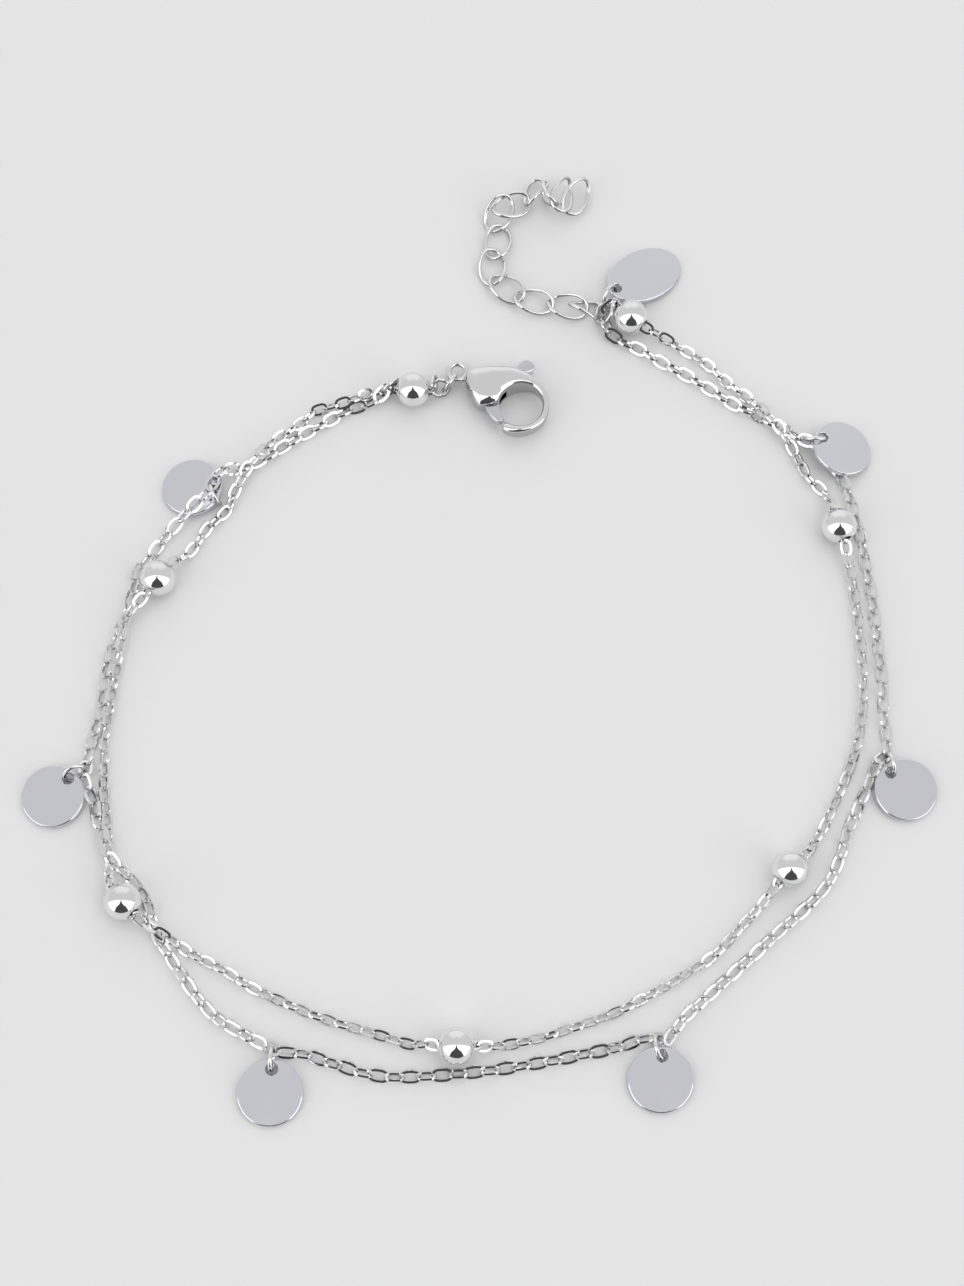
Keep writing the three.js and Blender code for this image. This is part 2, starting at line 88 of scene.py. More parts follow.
# Small discs in order from the clasp: centre, where the hole lies, the tilt and its high side.
DISCS = (
    {"x": -28.7, "y": 16.2, "hole": -12, "tilt": 6, "high": -12},
    {"x": -40.55, "y": -15.65, "hole": 50, "tilt": 5.5, "high": 50},
    {"x": -19.2, "y": -43.6, "hole": 87, "tilt": 5.5, "high": 87},
    {"x": 16.2, "y": -42.4, "hole": 84.5, "tilt": 5.5, "high": 84.5},
    {"x": 40.1, "y": -15.0, "hole": 131, "tilt": 5.5, "high": 131},
    {"x": 35.8, "y": 20.2, "hole": 153, "tilt": 15, "high": 205},
)
END_TAG = {"x": 16.6, "y": 39.85, "hole": 212, "tilt": 5.5, "high": 212}

# Wire rings: yaw turns the ring's own diameter, and lean is 90 for a standing ring.
DISC_RINGS = (
    {"name": "disc_ring_1", "diameter": 2.4, "x": -26.32, "y": 15.1, "z": 1.3, "yaw": 114, "lean": 77},
    {"name": "disc_ring_2", "diameter": 2.4, "x": -38.55, "y": -13.56, "z": 1.22, "yaw": 25, "lean": 71},
    {"name": "disc_ring_3", "diameter": 2.4, "x": -19.1, "y": -40.63, "z": 1.24, "yaw": 88, "lean": 87},
    {"name": "disc_ring_4", "diameter": 2.4, "x": 16.12, "y": -39.55, "z": 1.2, "yaw": 102, "lean": 68},
    {"name": "disc_ring_5", "diameter": 2.4, "x": 38.62, "y": -12.62, "z": 1.23, "yaw": -75, "lean": 81},
    {"name": "disc_ring_6", "diameter": 2.4, "x": 33.12, "y": 21.12, "z": 1.38, "yaw": -179, "lean": 68},
)
JOINING_RINGS = (
    {"name": "clasp_ring", "diameter": 2.4, "x": -3.24, "y": 27.37, "z": 1.32, "yaw": -125, "lean": 73.5},
    {"name": "last_ring", "diameter": 2.2, "x": -4.18, "y": 26.95, "z": 0.97, "yaw": 10, "lean": 57},
    {"name": "join_ring", "diameter": 2.3, "x": -9.24, "y": 26.98, "z": 1.5, "yaw": -136, "lean": 76},
    {"name": "end_ring", "diameter": 2.7, "x": 12.42, "y": 35.4, "z": 1.08, "yaw": -89, "lean": 48},
    {"name": "tag_ring", "diameter": 2.6, "x": 13.02, "y": 37.1, "z": 1.25, "yaw": 60.5, "lean": 71},
)

# Extender links from the end ring outwards.
EXTENDER = (
    {"x": 10.79, "y": 35.81, "z": 1.09, "yaw": 179, "pitch": -25, "roll": 33},
    {"x": 8.75, "y": 36.4, "z": 0.65, "yaw": 171, "pitch": -1, "roll": -2},
    {"x": 5.3, "y": 36.95, "z": 0.65, "yaw": 166, "pitch": 0, "roll": 0},
    {"x": 2.55, "y": 38.45, "z": 0.65, "yaw": 143, "pitch": 1, "roll": -2},
    {"x": 1.05, "y": 40.9, "z": 0.6, "yaw": 92, "pitch": -2, "roll": -2},
    {"x": 1.65, "y": 43.8, "z": 0.6, "yaw": 82, "pitch": 3, "roll": -2},
    {"x": 1.77, "y": 46.97, "z": 0.93, "yaw": 65, "pitch": -17, "roll": 7},
    {"x": 3.06, "y": 47.79, "z": 1.09, "yaw": 19, "pitch": 1.5, "roll": 3},
    {"x": 5.51, "y": 49.28, "z": 1.44, "yaw": 70.5, "pitch": 17.5, "roll": -41.5},
    {"x": 6.81, "y": 48.68, "z": 1.88, "yaw": 107.5, "pitch": 42.5, "roll": 78.5},
    {"x": 8.41, "y": 48.59, "z": 1.89, "yaw": 72, "pitch": 7.5, "roll": 44.5},
    {"x": 9.81, "y": 48.67, "z": 1.43, "yaw": 60.5, "pitch": -11.5, "roll": 37},
)

# Whole links of the bead strand: at the clasp, at the joining ring and at the end ring.
BEAD_STRAND_HOOKS = (
    {"x": -4.78, "y": 27.13, "z": 1.56, "yaw": 80, "pitch": 17.5, "roll": 72.5},
    {"x": -9.48, "y": 26.9, "z": 0.83, "yaw": 25.5, "pitch": -21, "roll": 26},
    {"x": 12.9, "y": 35.68, "z": 1.77, "yaw": 33, "pitch": 153, "roll": 136},
)

# The bead strand's runs between those links: (x, y) at rest height, (x, y, z), or a bead.
BEAD_STRAND_RUNS = (
    ((-4.91, 26.39, 1.8), BEADS[0], (-9.0, 26.7, 1.65), (-8.88, 27.2, 1.1)),
    (
        (-10.14, 26.59, 0.55), (-11.0, 26.55, 0.42), (-11.8, 26.3, 0.8), (-13.3, 25.4, 1.3),
        (-15.0, 25.0, 0.9), (-16.7, 24.6), (-18.5, 23.0), (-20.6, 21.4, 0.7), (-21.9, 19.9, 1.2),
        (-23.1, 18.5, 1.35), (-23.9, 16.9, 1.1), (-24.7, 15.4), (-25.1, 14.0), (-26.2, 12.8),
        (-27.3, 11.6), (-28.0, 10.3), (-29.0, 9.0, 0.8), (-30.0, 7.9, 1.5), BEADS[1],
        (-33.3, 3.8, 1.6), (-34.0, 3.0, 1.4), (-34.6, 2.0, 1.4), (-34.8, 0.1, 1.1), (-35.1, -2.0),
        (-35.5, -5.0), (-35.7, -7.0), (-36.0, -10.1), (-35.9, -12.1), (-35.8, -15.0),
        (-35.5, -16.8), (-35.3, -18.5, 0.55), (-35.1, -19.9, 0.45), (-34.9, -22.0, 0.45),
        (-34.8, -23.5, 1.1), BEADS[2], (-31.3, -27.9, 1.55), (-30.1, -28.7, 1.4),
        (-29.1, -29.3, 1.1), (-28.1, -29.9), (-26.3, -31.0), (-23.7, -32.3), (-21.3, -33.8),
        (-18.1, -35.3), (-15.5, -36.4), (-12.5, -37.4), (-9.3, -38.3), (-6.6, -39.1),
        (-4.9, -39.2, 1.2), BEADS[3], (0.3, -39.4, 1.2), (2.0, -39.2), (5.5, -38.5), (8.0, -37.7),
        (10.4, -36.9), (12.7, -36.0), (15.1, -34.7), (17.3, -33.5), (19.4, -32.2), (21.5, -30.8),
        (23.5, -28.7), (25.9, -26.2, 0.8), BEADS[4], (30.5, -21.2, 1.3), (31.6, -19.5),
        (32.9, -17.2), (34.4, -14.0), (35.8, -10.3), (36.5, -6.6), (36.7, -3.0), (36.6, 0.5),
        (36.3, 5.1), (35.9, 7.8, 0.9), BEADS[5], (34.2, 14.5, 1.1), (33.9, 15.7), (32.4, 17.4),
        (31.5, 19.4), (30.7, 21.0, 0.8), (30.2, 21.8, 1.1), (29.8, 22.4, 1.3), (29.1, 23.3, 1.35),
        (28.1, 24.5, 1.1), (27.1, 25.8), (24.8, 27.8), (22.6, 30.0), (20.1, 31.7),
        (17.8, 33.0, 1.1), BEADS[6], (13.6, 36.1, 2.2),
    ),
)

# Whole links of the disc strand: at the joining ring, at each disc's ring and at the end ring.
DISC_STRAND_HOOKS = (
    {"x": -10.12, "y": 26.21, "z": 1.0, "yaw": 44.5, "pitch": -8.5, "roll": 23.5},
    {"x": -26.63, "y": 16.36, "z": 1.29, "yaw": 246.5, "pitch": 0, "roll": 4},
    {"x": -37.64, "y": -12.98, "z": 0.76, "yaw": 89.5, "pitch": 19.5, "roll": 13.5},
    {"x": -19.12, "y": -39.55, "z": 0.94, "yaw": -24.5, "pitch": 16, "roll": -7.5},
    {"x": 16.15, "y": -38.69, "z": 0.72, "yaw": -21.5, "pitch": -26.5, "roll": -32.5},
    {"x": 38.08, "y": -11.92, "z": 0.77, "yaw": 39.5, "pitch": 17.5, "roll": -20},
    {"x": 32.36, "y": 21.18, "z": 0.87, "yaw": 160, "pitch": 0, "roll": -17.5},
    {"x": 12.66, "y": 33.94, "z": 1.11, "yaw": 106.5, "pitch": -9.5, "roll": 38.5},
)

# The disc strand's runs between those links.
DISC_STRAND_RUNS = (
    (
        (-10.67, 25.6, 0.92), (-12.1, 25.1, 0.55), (-13.3, 24.8, 0.5), (-16.0, 23.1), (-17.7, 22.1),
        (-19.7, 20.8, 0.5), (-21.6, 19.5, 0.45), (-22.9, 18.8, 0.45), (-24.3, 18.1, 0.7),
        (-25.4, 17.9, 1.55), (-26.32, 17.08, 1.62),
    ),
    (
        (-26.94, 15.64, 1.4), (-27.8, 14.7, 1.4), (-28.7, 13.7, 1.42), (-29.6, 12.7, 1.2),
        (-31.1, 11.0), (-33.0, 8.2), (-33.7, 7.2), (-34.0, 5.3, 0.5), (-34.5, 3.2, 0.45),
        (-35.5, 0.1, 0.5), (-36.1, -2.0), (-36.4, -5.0), (-36.6, -7.0), (-37.0, -9.1),
        (-37.64, -12.2, 0.5),
    ),
    (
        (-37.64, -13.72, 1.0), (-37.3, -14.9, 0.7), (-36.6, -16.4), (-36.3, -17.8, 0.8),
        (-35.7, -19.2, 1.25), (-35.1, -20.9, 1.35), (-34.5, -22.0, 1.25), (-33.7, -22.8, 0.9),
        (-32.6, -23.9), (-31.4, -25.4), (-30.8, -26.9, 0.5), (-30.3, -28.3, 0.45),
        (-29.9, -29.4, 0.5), (-29.2, -30.4), (-28.3, -31.8), (-26.2, -34.7), (-24.2, -36.8),
        (-22.3, -37.9), (-20.9, -38.7, 0.9), (-19.81, -39.24, 1.16),
    ),
    (
        (-18.43, -39.86, 0.72), (-16.5, -40.0), (-13.1, -41.0), (-10.5, -41.8), (-7.7, -42.1),
        (-4.9, -42.0), (-2.1, -41.8), (0.7, -41.5), (3.5, -41.1), (6.4, -40.6), (9.3, -40.0),
        (11.9, -39.5), (14.2, -38.8, 0.5), (15.5, -38.43, 0.4),
    ),
    (
        (16.8, -38.95, 1.07), (17.6, -37.9, 0.7), (18.4, -36.8), (20.2, -35.2), (22.3, -33.3),
        (24.8, -31.1), (27.7, -28.5), (29.9, -26.6), (32.1, -24.3), (33.4, -21.9), (34.4, -19.1),
        (35.7, -16.3), (36.8, -14.0, 0.8), (37.5, -12.4, 1.0),
    ),
    (
        (38.66, -11.44, 0.55), (38.6, -9.1), (38.5, -7.0), (38.6, -4.5), (38.5, -2.0), (38.3, 1.2),
        (38.0, 5.3), (37.6, 8.2), (37.3, 10.9), (36.7, 13.8), (36.0, 16.5, 0.5), (35.2, 17.9, 0.45),
        (34.2, 19.3, 0.5), (33.1, 20.91, 0.85),
    ),
    (
        (31.62, 21.45, 0.87), (31.0, 22.1), (30.1, 22.7, 0.45), (29.1, 23.3, 0.45), (27.1, 24.4),
        (25.4, 25.3), (23.0, 27.0), (20.5, 28.7), (18.1, 30.1), (15.8, 31.6), (14.3, 32.3),
        (12.88, 33.2, 0.95),
    ),
)

# The clasp's hook in rows about the middle of its opening, from its tip round to the gate's root:
# an angle, the inner and outer radius, half the thickness, and how square the inner lip is.
CLASP_ROWS = (
    {"angle": 231, "inner": 2.45, "outer": 2.9, "half": 0.45, "lip": 2.4},
    {"angle": 238, "inner": 2.3, "outer": 3.25, "half": 0.65, "lip": 2.4},
    {"angle": 252, "inner": 2.3, "outer": 3.3, "half": 0.75, "lip": 2.4},
    {"angle": 270, "inner": 2.3, "outer": 3.2, "half": 0.8, "lip": 2.4},
    {"angle": 295, "inner": 2.35, "outer": 3.1, "half": 0.8, "lip": 2.4},
    {"angle": 320, "inner": 2.3, "outer": 3.1, "half": 0.8, "lip": 2.4},
    {"angle": 350, "inner": 2.25, "outer": 2.95, "half": 0.8, "lip": 2.6},
    {"angle": 380, "inner": 2.25, "outer": 3.0, "half": 0.85, "lip": 3.0},
    {"angle": 400, "inner": 2.2, "outer": 3.05, "half": 0.95, "lip": 3.5},
    {"angle": 418, "inner": 2.15, "outer": 3.2, "half": 1.05, "lip": 4.0},
    {"angle": 438, "inner": 2.05, "outer": 3.5, "half": 1.2, "lip": 5.0},
    {"angle": 460, "inner": 1.95, "outer": 4.15, "half": 1.35, "lip": 5.0},
    {"angle": 478, "inner": 1.9, "outer": 4.75, "half": 1.4, "lip": 5.0},
    {"angle": 493, "inner": 1.9, "outer": 5.65, "half": 1.4, "lip": 5.0},
    {"angle": 505, "inner": 1.95, "outer": 6.45, "half": 1.4, "lip": 5.0},
    {"angle": 516, "inner": 2.0, "outer": 6.0, "half": 1.4, "lip": 5.0},
    {"angle": 530, "inner": 2.05, "outer": 4.95, "half": 1.3, "lip": 4.0},
    {"angle": 538, "inner": 2.15, "outer": 4.5, "half": 1.1, "lip": 3.0},
    {"angle": 543, "inner": 2.4, "outer": 4.2, "half": 0.75, "lip": 2.4},
)

# The lever's outline, anticlockwise from the free end of its gate.
LEVER_OUTLINE = (
    (1.5, 22.75), (1.95, 22.8), (2.2, 23.15), (1.75, 24.5), (1.75, 26.0), (2.2, 27.25),
    (3.6, 27.85), (4.3, 28.15), (5.1, 28.45), (5.3, 29.0), (5.05, 29.5), (4.5, 29.7),
    (3.95, 29.5), (3.3, 28.7), (1.6, 27.95), (0.6, 27.95), (0.15, 27.3), (0.25, 26.3),
    (0.3, 24.4), (0.9, 23.4),
)


def cubic_weights(t: float) -> tuple[float, float, float, float]:
    """Weighs a cubic's start, its slope there, its end and its slope there, at t from 0 to 1."""
    return 2 * t**3 - 3 * t**2 + 1, t**3 - 2 * t**2 + t, 3 * t**2 - 2 * t**3, t**3 - t**2


class Body(Enum):
    """The moving bodies that pieces ride on."""

    CHAIN = "chain"
    LEVER = "lever"


@dataclass(frozen=True)
class Section:
    """One section of a bar: where it lies, at its size, and how square it is.

    A squareness of 2 makes an ellipse, and more makes a rounded square.
    """

    matrix: Matrix
    square: float = 2.0
    lip: float = 2.0


@dataclass(frozen=True)
class Pose:
    """Where a piece lies, in millimetres, and how it is turned, in degrees."""

    x: float
    y: float
    z: float
    yaw: float = 0.0
    pitch: float = 0.0
    roll: float = 0.0

    def turn(self) -> Matrix:
        """Roll about X first, then pitch about Y, then yaw about Z."""
        angles = (math.radians(self.roll), math.radians(self.pitch), math.radians(self.yaw))
        return Euler(angles, "XYZ").to_matrix().to_4x4()

    def matrix(self) -> Matrix:
        """The turn, then the place from the middle of the layout."""
        return Matrix.Translation(Vector((self.x, self.y, self.z)) + LAYOUT_SHIFT) @ self.turn()


class Route:
    """A smooth path through listed points, measured along its length."""

    STEPS = 12

    def __init__(self, stops: Iterable[tuple | dict]) -> None:
        """Lays the path through the stops of one run.

        Args:
            stops: Points (x, y) at rest height or (x, y, z), and beads, which are passed straight.
        """
        self.points: list[Vector] = []
        reach: list[Vector] = []
        for stop in stops:
            if isinstance(stop, dict):
                pose = Pose(**stop)
                half = pose.turn() @ Vector((BEAD_REACH, 0.0, 0.0))
                centre = Vector((pose.x, pose.y, pose.z))
                self.points += self.smooth([*reach, centre - half])
                reach = [centre + half]
            else:
                x, y, z = (*stop, REST_HEIGHT)[:3]
                reach.append(Vector((x, y, z)))
        self.points += self.smooth(reach)
        self.marks = [0.0]
        for near, far in zip(self.points, self.points[1:]):
            self.marks.append(self.marks[-1] + (far - near).length)

    @property
    def length(self) -> float:
        """The whole length of the path."""
        return self.marks[-1]

    def smooth(self, points: list[Vector]) -> list[Vector]:
        """Passes a centripetal spline through the points.

        Args:
            points: The points in order.

        Returns:
            The points of a fine polyline along the spline.
        """
        if len(points) < 2:
            return points
        held = [2 * points[0] - points[1], *points, 2 * points[-1] - points[-2]]
        fine = []
        for before, near, far, after in zip(held, held[1:], held[2:], held[3:]):
            lead, span, tail = (
                math.sqrt((b - a).length) for a, b in ((before, near), (near, far), (far, after))
            )
            leave = (near - before) / lead - (far - before) / (lead + span) + (far - near) / span
            arrive = (far - near) / span - (after - near) / (span + tail) + (after - far) / tail
            for step in range(self.STEPS):
                start, leaving, end, arriving = cubic_weights(step / self.STEPS)
                fine.append(
                    start * near + leaving * span * leave + end * far + arriving * span * arrive
                )
        return [*fine, points[-1]]

    def at(self, mark: float) -> Vector:
        """Finds the point at a distance along the path.

        Args:
            mark: The distance from the start; beyond either end the path runs straight on.

        Returns:
            The point there.
        """
        last = len(self.marks) - 2
        i = next((k for k in range(last + 1) if self.marks[k + 1] >= mark), last)
        near, far = self.points[i], self.points[i + 1]
        return near + (far - near).normalized() * (mark - self.marks[i])


class Shape:
    """A mesh being shaped with bmesh operators, in millimetres."""

    def __init__(self) -> None:
        """Starts an empty shape."""
        self.bm = bmesh.new()

    def section(self, section: Section, sides: int) -> list[bmesh.types.BMEdge]:
        """Adds one closed section of a bar.

        Args:
            section: Where the section lies, and how square it is on its +X side and its -X lip.
            sides: The corners of the section.

        Returns:
            The section's edges.
        """
        quarter = Matrix.Rotation(math.pi / sides, 4, "Z")
        made = bmesh.ops.create_circle(self.bm, segments=sides, radius=1.0, matrix=quarter)
        for vert in made["verts"]:
            power = 2.0 / (section.lip if vert.co.x < 0 else section.square)
            vert.co.x = math.copysign(abs(vert.co.x) ** power, vert.co.x)
            vert.co.y = math.copysign(abs(vert.co.y) ** power, vert.co.y)
        bmesh.ops.transform(self.bm, matrix=section.matrix, verts=made["verts"])
        return list(dict.fromkeys(edge for vert in made["verts"] for edge in vert.link_edges))

    def bar(self, stations: list[Section], sides: int, closed: bool) -> list[list[bmesh.types.BMEdge]]:
        """Bridges sections into a bar.

        Args:
            stations: The sections in order.
            sides: The corners of each section.
            closed: Whether the last section joins the first. An open bar gets flat ends.

        Returns:
            The edges of the first and the last section.
        """
        loops = [self.section(station, sides) for station in stations]
        following = loops[1:] + loops[:1] if closed else loops[1:]
        for near, far in zip(loops, following):
            bmesh.ops.bridge_loops(self.bm, edges=near + far)
        ends = [loops[0], loops[-1]]
        if not closed:
            for end in ends:
                bmesh.ops.contextual_create(self.bm, geom=end)
        return ends

    def rims(self, limit: float) -> list[bmesh.types.BMEdge]:
        """Finds the edges where two faces meet at more than a limit in degrees."""
        return [edge for edge in self.bm.edges if edge.calc_face_angle(0) > math.radians(limit)]

    def round_edges(self, edges: list[bmesh.types.BMEdge], offset: float) -> None:
        """Rounds edges over.

        Args:
            edges: The edges to round.
            offset: How far the rounding reaches from each edge.
        """
        bmesh.ops.bevel(
            self.bm,
            geom=edges,
            affect="EDGES",
            offset=offset,
            segments=ROUNDING_FACES,
            profile=0.5,
            material=-1,
            clamp_overlap=True,
        )

    def face_out(self) -> None:
        """Merges doubles and turns every face outwards."""
        bmesh.ops.remove_doubles(self.bm, verts=self.bm.verts, dist=MERGE_DISTANCE)
        bmesh.ops.recalc_face_normals(self.bm, faces=self.bm.faces)

    def lay(self, matrix: Matrix) -> None:
        """Moves, turns or scales the whole shape."""
        bmesh.ops.transform(self.bm, matrix=matrix, verts=self.bm.verts)

    def thicken(self, sheet: list[bmesh.types.BMFace], thickness: float) -> None:
        """Raises a flat sheet into a plate, half above its plane and half below.

        Args:
            sheet: The sheet's faces.
            thickness: The plate's thickness.
        """
        raised = bmesh.ops.extrude_face_region(self.bm, geom=sheet)["geom"]
        top = [item for item in raised if isinstance(item, bmesh.types.BMVert)]
        bmesh.ops.translate(self.bm, vec=(0.0, 0.0, thickness), verts=top)
        bmesh.ops.translate(self.bm, vec=(0.0, 0.0, -thickness / 2), verts=self.bm.verts)
        self.face_out()

    def add_copy(self, other: "Shape", matrix: Matrix) -> None:
        """Adds a placed copy of another shape.

        Args:
            other: The shape to copy.
            matrix: Where the copy goes.
        """
        mesh = bpy.data.meshes.new("copy")
        other.bm.to_mesh(mesh)
        first = len(self.bm.verts)
        self.bm.from_mesh(mesh)
        self.bm.verts.ensure_lookup_table()
        bmesh.ops.transform(self.bm, matrix=matrix, verts=self.bm.verts[first:])
        bpy.data.meshes.remove(mesh)

    def mark_sharp(self, limit: float) -> None:
        """Keeps a crease in the shading wherever two faces meet at more than a limit in degrees."""
        for edge in self.rims(limit):
            edge.smooth = False

    def keep_level(self) -> None:
        """Parts the shading of level faces from the roundings beside them, so they mirror flat."""
        self.bm.normal_update()
        for edge in self.bm.edges:
            if len({abs(face.normal.z) > LEVEL for face in edge.link_faces}) == 2:
                edge.smooth = False

    def carve(self, other: "Shape", operation: str) -> None:
        """Cuts or joins this shape with another one.

        Args:
            other: The cutter, or the shape to join.
            operation: DIFFERENCE or UNION.
        """
        stock, tool = self.loose_object("stock"), other.loose_object("tool")
        cut = stock.modifiers.new("cut", "BOOLEAN")
        cut.operation = operation
        cut.solver = "EXACT"
        cut.object = tool
        bpy.context.view_layer.update()
        seen = stock.evaluated_get(bpy.context.evaluated_depsgraph_get())
        result = bpy.data.meshes.new_from_object(seen)
        self.bm.clear()
        self.bm.from_mesh(result)
        for made in (stock, tool):
            mesh = made.data
            bpy.data.objects.remove(made)
            bpy.data.meshes.remove(mesh)
        bpy.data.meshes.remove(result)

    def loose_object(self, name: str) -> bpy.types.Object:
        """Puts the shape in an object of its own.

        Args:
            name: The object's name.

        Returns:
            The object, linked to the scene.
        """
        mesh = bpy.data.meshes.new(name)
        self.bm.to_mesh(mesh)
        made = bpy.data.objects.new(name, mesh)
        bpy.context.scene.collection.objects.link(made)
        return made

    def finish(self, name: str, finish: "Steel", body: Body, replaced: str) -> bpy.types.Object:
        """Scales the shape to metres and hands it over as a dressed piece.

        Args:
            name: The piece's name.
            finish: The steel that it is dressed in.
            body: The body that it rides on.
            replaced: The CAD node that it stands for.

        Returns:
            The finished piece.
        """
        self.lay(Matrix.Scale(MM, 4))
        for face in self.bm.faces:
            face.smooth = True
        piece = self.loose_object(name)
        self.bm.free()
        piece.data.materials.append(finish.material())
        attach(piece, body.value)
        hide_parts(replaced)
        LOG.info("%s: %d faces", name, len(piece.data.polygons))
        return piece


class NodeBench:
    """Lays out the nodes of one tree and joins them."""

    def __init__(self, tree: bpy.types.NodeTree) -> None:
        """Clears the tree.

        Args:
            tree: The node tree to fill.
        """
        self.tree = tree
        tree.nodes.clear()

    def add(self, kind: str, settings: dict | None = None, inputs: dict | None = None) -> bpy.types.Node:
        """Adds a node.

        Args:
            kind: The node's type name.
            settings: Its own settings by name.
            inputs: Values or sockets for its inputs, by name or number.

        Returns:
            The node.
        """
        node = self.tree.nodes.new(kind)
        node.location = (180 * len(self.tree.nodes), 0)
        for key, value in (settings or {}).items():
            setattr(node, key, value)
        for key, value in (inputs or {}).items():
            self.feed(node.inputs[key], value)
        return node

    def feed(self, socket: bpy.types.NodeSocket, value: object) -> None:
        """Joins a socket to an input, or sets the input's value."""
        if isinstance(value, bpy.types.NodeSocket):
            self.tree.links.new(value, socket)
        else:
            socket.default_value = value

    def math(self, operation: str, *values: object) -> bpy.types.NodeSocket:
        """Adds a maths node and returns its output."""
        return self.add("ShaderNodeMath", {"operation": operation}, dict(enumerate(values))).outputs[0]

    def noise(self, place: object, scale: object, detail: float) -> bpy.types.NodeSocket:
        """Adds a noise and returns its value."""
        inputs = {"Vector": place, "Scale": scale, "Detail": detail}
        return self.add("ShaderNodeTexNoise", inputs=inputs).outputs[0]

    def step(self, value: object, low: float, high: float) -> bpy.types.NodeSocket:
        """Adds a soft step.

        Args:
            value: What is tested.
            low: Where the result is 0.
            high: Where the result is 1.

        Returns:
            A number from 0 to 1.
        """
        node = self.add(
            "ShaderNodeMapRange",
            {"interpolation_type": "SMOOTHSTEP"},
            {"Value": value, "From Min": low, "From Max": high},
        )
        return node.outputs[0]


class WearAndShadeGroups:
    """The shader node groups that every steel shares, each built once: wear marks, and painted shade on the
    flanks.

    The wiping marks lie at two angles, in radians, and are drawn out along one axis. Each edge says
    where its mask starts and where it is full.
    """

    MARK_ANGLES = (0.5, 2.1)
    MARK_TILT = (0.2, 0.3)
    MARK_DRAW = (1.0, 0.06, 1.0)
    MARK_EDGE = (0.56, 0.7)
    HAZE_EDGE = (0.4, 0.68)
    FLANK_SHADE_EDGE = (0.65, 0.25)

    def start(self, name: str, inputs: dict[str, float], output: str) -> NodeBench:
        """Opens a new group with its sockets.

        Args:
            name: The group's name.
            inputs: Its number inputs and what each one starts at.
            output: Its number output.

        Returns:
            The bench to lay its nodes on.
        """
        tree = bpy.data.node_groups.new(name, "ShaderNodeTree")
        for key, value in inputs.items():
            socket = tree.interface.new_socket(key, in_out="INPUT", socket_type="NodeSocketFloat")
            socket.default_value = value
        tree.interface.new_socket(output, in_out="OUTPUT", socket_type="NodeSocketFloat")
        return NodeBench(tree)

    @cached_property
    def scratches(self) -> bpy.types.NodeTree:
        """Builds hair-fine wiping marks, lying two ways across each other.

        Returns:
            The group, which puts out a height.
        """
        bench = self.start("Wiping marks", {"Scale": 2500.0}, "Height")
        given = bench.add("NodeGroupInput").outputs
        place = bench.add("ShaderNodeTexCoord").outputs["Object"]
        heights = []
        for angle in self.MARK_ANGLES:
            turned = {0: place, "Rotation": (*self.MARK_TILT, angle), "Scale": self.MARK_DRAW}
            drawn = bench.add("ShaderNodeMapping", inputs=turned).outputs[0]
            heights.append(bench.step(bench.noise(drawn, given["Scale"], 2.0), *self.MARK_EDGE))
        bench.add("NodeGroupOutput", inputs={"Height": bench.math("MAXIMUM", *heights)})
        return bench.tree

    @cached_property
    def haze(self) -> bpy.types.NodeTree:
        """Builds the soft patches where handling has dulled the polish.

        Returns:
            The group, which puts out a roughness between its two limits.
        """
        bench = self.start("Handling haze", {"Scale": 400.0, "Clean": 0.06, "Dull": 0.12}, "Roughness")
        given = bench.add("NodeGroupInput").outputs
        place = bench.add("ShaderNodeTexCoord").outputs["Object"]
        mask = bench.step(bench.noise(place, given["Scale"], 4.0), *self.HAZE_EDGE)
        spread = bench.math("SUBTRACT", given["Dull"], given["Clean"])
        level = bench.math("MULTIPLY_ADD", mask, spread, given["Clean"])
        bench.add("NodeGroupOutput", inputs={"Roughness": level})
        return bench.tree

    @cached_property
    def waves(self) -> bpy.types.NodeTree:
        """Builds the faint unevenness of rolled and cast metal.

        Returns:
            The group, which puts out a height.
        """
        bench = self.start("Slow waves", {"Scale": 150.0}, "Height")
        given = bench.add("NodeGroupInput").outputs
        place = bench.add("ShaderNodeTexCoord").outputs["Object"]
        height = bench.noise(place, given["Scale"], 0.0)
        bench.add("NodeGroupOutput", inputs={"Height": height})
        return bench.tree

    @cached_property
    def flank_shade(self) -> bpy.types.NodeTree:
        """Builds painted shade on the flanks of wire and castings. The more upright a face stands, the
        darker its colour, standing in for the shade and dark reflections beside them.

        Returns:
            The group, which puts out the brightness that is left, from 1 on top to less beside.
        """
        bench = self.start("Dark flanks", {"Darkening": 0.5}, "Brightness")
        given = bench.add("NodeGroupInput").outputs
        facing = bench.add("ShaderNodeTexCoord").outputs["Normal"]
        height = bench.add("ShaderNodeSeparateXYZ", inputs={0: facing}).outputs[2]
        mask = bench.step(bench.math("ABSOLUTE", height), *self.FLANK_SHADE_EDGE)
        taken = bench.math("MULTIPLY", mask, given["Darkening"])
        bench.add("NodeGroupOutput", inputs={"Brightness": bench.math("SUBTRACT", 1.0, taken)})
        return bench.tree


WEAR_AND_SHADE = WearAndShadeGroups()


